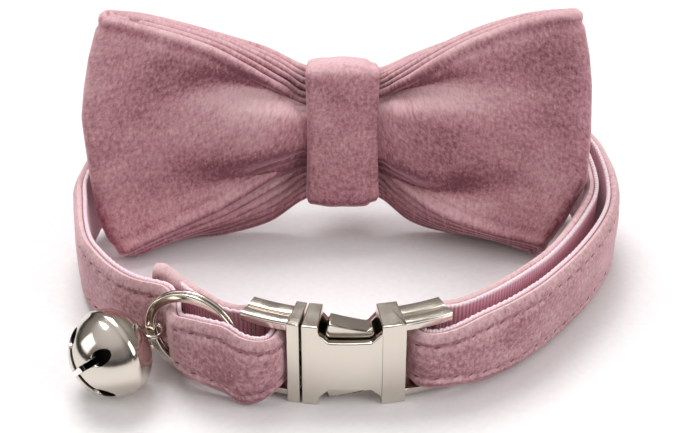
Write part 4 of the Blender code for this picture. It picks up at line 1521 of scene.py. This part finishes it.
@dataclass
class RingAndBell:
    """The split ring, and the bell that hangs from it with its loose pellet."""

    nickel: Material
    painted_shade_metal: Material
    ring_middle: float = 7.05
    ring_radial: float = 1.5
    ring_corner: float = 0.24
    turn_thick: float = 0.65
    turn_gap: float = 0.15
    turns: float = 1.9
    bell_radius: float = 6.8
    bell_wall: float = 0.5
    cap_height: float = 5.0
    lip: float = 0.9
    lip_proud: float = 0.2
    lip_flare: float = 0.25
    cap_step: float = 0.1
    slot_width: float = 0.9
    slot_reach: float = 4.6
    slot_hole: float = 1.15
    slot_depth: float = 6.0
    hole_depth: float = 8.0
    eye_distance: float = 7.3
    eye_hole: float = 1.35
    eye_wire: float = 0.75
    stem_radius: float = 0.7
    edge_round: float = 0.07
    edge_deg: float = 50.0
    smooth_deg: float = 38.0
    painted_shade_reach: float = 1.05
    bell_yaw_deg: float = 45.0
    pellet_radius: float = 1.6
    pellet_gap: float = 0.3

    def build(self) -> None:
        """Make the ring, the bell and the pellet."""
        self.ring()
        self.bell()
        self.pellet()

    def bell_matrix(self) -> Matrix:
        """Place the bell.

        Returns:
            Its frame, in millimetres. +X runs from its slotted pole to its eye.
        """
        ring_yaw = math.radians(RING_YAW_DEG)
        along = Vector((math.cos(ring_yaw), math.sin(ring_yaw), 0.0))
        yaw = math.radians(self.bell_yaw_deg)
        aim = Vector((math.cos(yaw), math.sin(yaw), 0.0))
        wire = Vector((*RING_PLACE[:2], 0.0)) - along * self.ring_middle
        centre = wire - aim * self.eye_distance
        centre.z = self.bell_radius
        return Matrix.Translation(centre + BUCKLE_ORIGIN) @ Matrix.Rotation(yaw, 4, 'Z')

    def ring(self) -> None:
        """Wind one flattened wire almost twice round."""
        columns = 300
        flat_radial = self.ring_radial / 2 - self.ring_corner
        flat_axial = self.turn_thick / 2 - self.ring_corner
        section = []
        for quarter, (radial, axial) in enumerate(((1, 1), (-1, 1), (-1, -1), (1, -1))):
            section += quarter_turn((radial * flat_radial, axial * flat_axial), self.ring_corner,
                                    90 * quarter, 90 * quarter + 90, 4)
        count = len(section)
        pitch = self.turn_thick + self.turn_gap
        frame = (Matrix.Translation(Vector(RING_PLACE) + BUCKLE_ORIGIN)
                 @ Matrix.Rotation(math.radians(RING_YAW_DEG), 4, 'Z'))

        def place(column: int, row: int) -> Vector:
            turned = self.turns * column / columns
            angle = 2 * math.pi * turned
            drift = pitch * (turned - self.turns / 2)
            radial, axial = section[row % count]
            reach = self.ring_middle + radial
            return frame @ Vector((reach * math.cos(angle), drift + axial, reach * math.sin(angle)))

        def mark(column: int, row: int) -> Pair:
            return (column * 0.3, row * 0.2)

        piece = shaped_grid("split_ring_wire", columns, count, place, mark)
        coat(piece, 50, self.nickel)
        finish_piece(piece, Slot.NICKEL, nodes=("split_ring",))

    def bell_outline(self, inset: float) -> list[Pair]:
        """Return half of the bell's outline from its slotted pole to its eye side.

        Args:
            inset: Distance inside the outer skin.

        Returns:
            Places along the axis, each with its distance from the axis.
        """
        radius = self.bell_radius - self.lip_proud - inset
        ball_steps = 24
        cap_steps = 21
        points = []
        for step in range(ball_steps):
            angle = math.pi / 2 * step / ball_steps
            if radius * math.cos(angle) > self.lip + self.lip_flare:
                points.append((-radius * math.cos(angle), radius * math.sin(angle)))
        rim = self.bell_radius - inset
        # The pressed lip, from the ball's side to the cap's.
        points += [(-self.lip - 0.1, rim - self.lip_proud + 0.02), (-self.lip + 0.05, rim - 0.05),
                   (-self.lip + 0.2, rim), (-0.15, rim), (0.0, rim - 0.04)]
        cap = self.cap_height - inset
        for step in range(1, cap_steps + 1):
            angle = math.pi / 2 * step / cap_steps
            points.append((cap * math.sin(angle), (rim - self.cap_step) * math.cos(angle)))
        return points

    def turned(self, name: str, inset: float) -> Piece:
        """Turn a closed solid from the bell's outline.

        Args:
            name: The object's name.
            inset: How far inside the bell's skin it lies, in millimetres.

        Returns:
            The solid, round the bell's own axis.
        """
        outline = self.bell_outline(inset)
        sides = 96

        def place(column: int, row: int) -> Vector:
            angle = 2 * math.pi * column / sides
            along, reach = outline[row]
            reach = max(reach, 0.0)
            return Vector((along, reach * math.cos(angle), reach * math.sin(angle)))

        def mark(column: int, row: int) -> Pair:
            return (column * 0.4, row * 0.4)

        return shaped_grid(name, sides, len(outline) - 1, place, mark)

    def cut_slots(self, piece: Piece) -> None:
        """Cut the two crossed slots, each with a round hole at both ends.

        Args:
            piece: The hollow bell, round its own axis.
        """
        for turn_deg in (45, 135):
            turn = Matrix.Rotation(math.radians(turn_deg), 4, 'X')
            slot = primitive("slot_cutter", bpy.ops.mesh.primitive_cube_add, size=1.0)
            slot.matrix_world = (turn @ Matrix.Translation((-self.slot_depth * MM, 0, 0))
                                 @ Matrix.Diagonal((self.slot_depth * MM, 2 * self.slot_reach * MM,
                                                    self.slot_width * MM, 1.0)))
            combine(piece, slot, 'DIFFERENCE')
            for side in Side:
                hole = primitive("slot_end_cutter", bpy.ops.mesh.primitive_cylinder_add,
                                 vertices=32, radius=self.slot_hole * MM,
                                 depth=self.hole_depth * MM)
                centre = turn @ Vector((-self.bell_radius * MM, side.value * self.slot_reach * MM, 0))
                hole.matrix_world = (Matrix.Translation(centre)
                                     @ Matrix.Rotation(math.pi / 2, 4, 'Y'))
                combine(piece, hole, 'DIFFERENCE')

    def add_eye(self, piece: Piece) -> None:
        """Solder the eye and its stem on.

        Args:
            piece: The bell, round its own axis.
        """
        eye = primitive(
            "bell_eye", bpy.ops.mesh.primitive_torus_add, major_segments=48, minor_segments=16,
            location=(self.eye_distance * MM, 0, 0), minor_radius=self.eye_wire / 2 * MM,
            major_radius=(self.eye_hole + self.eye_wire / 2) * MM)
        combine(piece, eye, 'UNION')
        start = self.cap_height - self.bell_wall / 2
        end = self.eye_distance - self.eye_hole - self.eye_wire / 2
        stem = primitive(
            "bell_stem", bpy.ops.mesh.primitive_cylinder_add, vertices=24,
            radius=self.stem_radius * MM, depth=(end - start) * MM,
            location=((start + end) / 2 * MM, 0, 0), rotation=(0, math.pi / 2, 0))
        combine(piece, stem, 'UNION')

    def bell(self) -> None:
        """Press the hollow bell, cut its slots, solder on its eye and give its inside a dark metal
        as painted shade.
        """
        piece = self.turned("jingle_bell", 0.0)
        combine(piece, self.turned("bell_hollow", self.bell_wall), 'DIFFERENCE')
        self.cut_slots(piece)
        self.add_eye(piece)
        frame = self.bell_matrix()
        frame.translation *= MM
        piece.matrix_world = frame
        apply_place(piece)
        apply_modifier(piece, 'BEVEL', {
            "width": self.edge_round * MM, "segments": 2, "limit_method": 'ANGLE',
            "angle_limit": math.radians(self.edge_deg), "use_clamp_overlap": False})
        coat(piece, self.smooth_deg, self.nickel)
        # Painted shade: the inside faces of the hollow get a dark metal.
        piece.data.materials.append(self.painted_shade_metal)
        skin = (self.bell_radius - self.bell_wall / 2) * MM
        for face in piece.data.polygons:
            local = frame.inverted() @ face.center
            inward = face.normal.dot(face.center - frame.translation) < 0
            if inward and local.length < skin and local.x < self.cap_height * MM * self.painted_shade_reach:
                face.material_index = 1
        finish_piece(piece, Slot.NICKEL, nodes=("bell",))

    def pellet(self) -> None:
        """Make the loose ball, which lies at the bottom of the bell."""
        inside = self.bell_radius - self.lip_proud - self.bell_wall
        drop = inside - self.pellet_radius - self.pellet_gap
        centre = (self.bell_matrix() @ Vector((0, 0, -drop))) * MM
        piece = primitive("bell_ball", bpy.ops.mesh.primitive_ico_sphere_add, subdivisions=4,
                          radius=self.pellet_radius * MM, location=centre)
        apply_place(piece)
        # The pellet, in the bell's hollow, gets the dark metal as painted shade.
        coat(piece, 180, self.painted_shade_metal)
        finish_piece(piece, Slot.NICKEL, nodes=("bell_pellet",))


@dataclass
class Studio:
    """A white table top, soft boxes and the camera."""

    table_size: float = 3.0
    camera_mm: Triple = (-1.25, -195.4, 142.6)
    camera_down_deg: float = 33.2
    lens_mm: float = 78.3
    sensor_mm: float = 36.0
    lights: list[tuple[str, Triple, float, float]] = field(default_factory=list)

    def __post_init__(self) -> None:
        """Set the soft boxes: name, place in metres, size in metres and power in watts."""
        if not self.lights:
            self.lights = [
                ("soft_box_top", (-0.12, 0.36, 0.70), 0.45, 4.3),
                ("soft_box_left", (-0.75, -0.15, 0.45), 0.50, 1.3),
                ("soft_box_right", (0.75, -0.35, 0.45), 0.50, 3.0),
            ]

    def build(self) -> None:
        """Make the table top, the lights, the surroundings and the camera."""
        self.table()
        self.soft_boxes()
        self.surroundings()
        self.camera()

    def table(self) -> None:
        """Lay the white sheet that the collar stands on."""
        top = primitive("white_table_top", bpy.ops.mesh.primitive_plane_add, size=self.table_size)
        material, tree, shader = principled("white_card")
        fibre = add_node(tree, "TexNoise", {
            "Vector": add_node(tree, "TexCoord").outputs["Object"], "Scale": 900.0})
        colour = add_node(tree, "ValToRGB", {"Fac": fibre}, stops=[
            (0.3, "f6f5f6"), (0.7, "fbfafb")])
        set_inputs(tree, shader, {
            "Base Color": colour, "Roughness": 0.85, "Specular IOR Level": 0.2})
        paint(top, material)

    def soft_boxes(self) -> None:
        """Hang the area lights, each aimed at the middle of the collar."""
        aim = Vector((0.0, 0.0, 0.015))
        for name, place, size, power in self.lights:
            lamp = bpy.data.lights.new(name, 'AREA')
            lamp.shape = 'SQUARE'
            lamp.size = size
            lamp.energy = power
            fitting = bpy.data.objects.new(name, lamp)
            fitting.location = place
            fitting.rotation_euler = (aim - Vector(place)).to_track_quat('-Z', 'Y').to_euler()
            bpy.context.scene.collection.objects.link(fitting)

    def surroundings(self) -> None:
        """Surround the table with a pale room that is dark near the horizon."""
        world = bpy.data.worlds.new("pale_room")
        bpy.context.scene.world = world
        world.use_nodes = True
        tree = world.node_tree
        split = add_node(tree, "SeparateXYZ", {
            "Vector": add_node(tree, "TexCoord").outputs["Generated"]})
        colour = add_node(tree, "ValToRGB", {"Fac": split.outputs["Z"]}, stops=[
            (0.0, "2c2b2c"), (0.16, "3b393a"), (0.34, "827e7c"), (0.60, "98938f"),
            (0.80, "cfcbca"), (1.0, "e2dfdf")])
        set_inputs(tree, tree.nodes["Background"], {"Color": colour, "Strength": 1.0})

    def camera(self) -> None:
        """Set the camera at the photograph's viewing angle."""
        lens = bpy.data.cameras.new("product_camera")
        lens.sensor_width = self.sensor_mm
        lens.lens = self.lens_mm
        lens.clip_start = 0.005
        camera = bpy.data.objects.new("product_camera", lens)
        camera.location = Vector(self.camera_mm) * MM
        camera.rotation_euler = (math.radians(90 - self.camera_down_deg), 0.0, 0.0)
        bpy.context.scene.collection.objects.link(camera)
        bpy.context.scene.camera = camera
        bpy.context.scene.view_settings.view_transform = 'Standard'


def main() -> None:
    """Load the frame, dress it and set the studio."""
    logging.basicConfig(level=logging.INFO, format="%(name)s: %(message)s")
    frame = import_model()
    deselect()
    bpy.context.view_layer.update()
    velvet = PolyesterVelvet("brushed_polyester_velvet").build()
    # Painted light: the strap gets a paler copy of the bow's velvet, the same cloth drawn lighter.
    strap_velvet = PolyesterVelvet("polyester_velvet_painted_lighter", dark="97686f", middle="c89da2",
                                   light="e4c2c5").build()
    plain_velvet = PolyesterVelvet("polyester_velvet_backing", Weave.IN_SPACE).build()
    webbing = NylonWebbing("ribbed_nylon_webbing").build()
    nickel = NickelPlate("polished_nickel_plate").build()
    # A dark copy of the nickel, painted shade for the bell's hollow and its pellet.
    painted_shade_finish = NickelPlate("dark_metal_painted_shade", colour="5a5653", roughness=0.38).build()
    thread = SewingThread("polyester_sewing_thread").build()
    Studio().build()
    Strap(StrapRoute(), strap_velvet, webbing, thread).build()
    Bow(frame["nodes"], velvet, plain_velvet).build()
    Buckle(frame["nodes"], nickel).build()
    RingAndBell(nickel, painted_shade_finish).build()


if __name__ == "__main__":
    main()
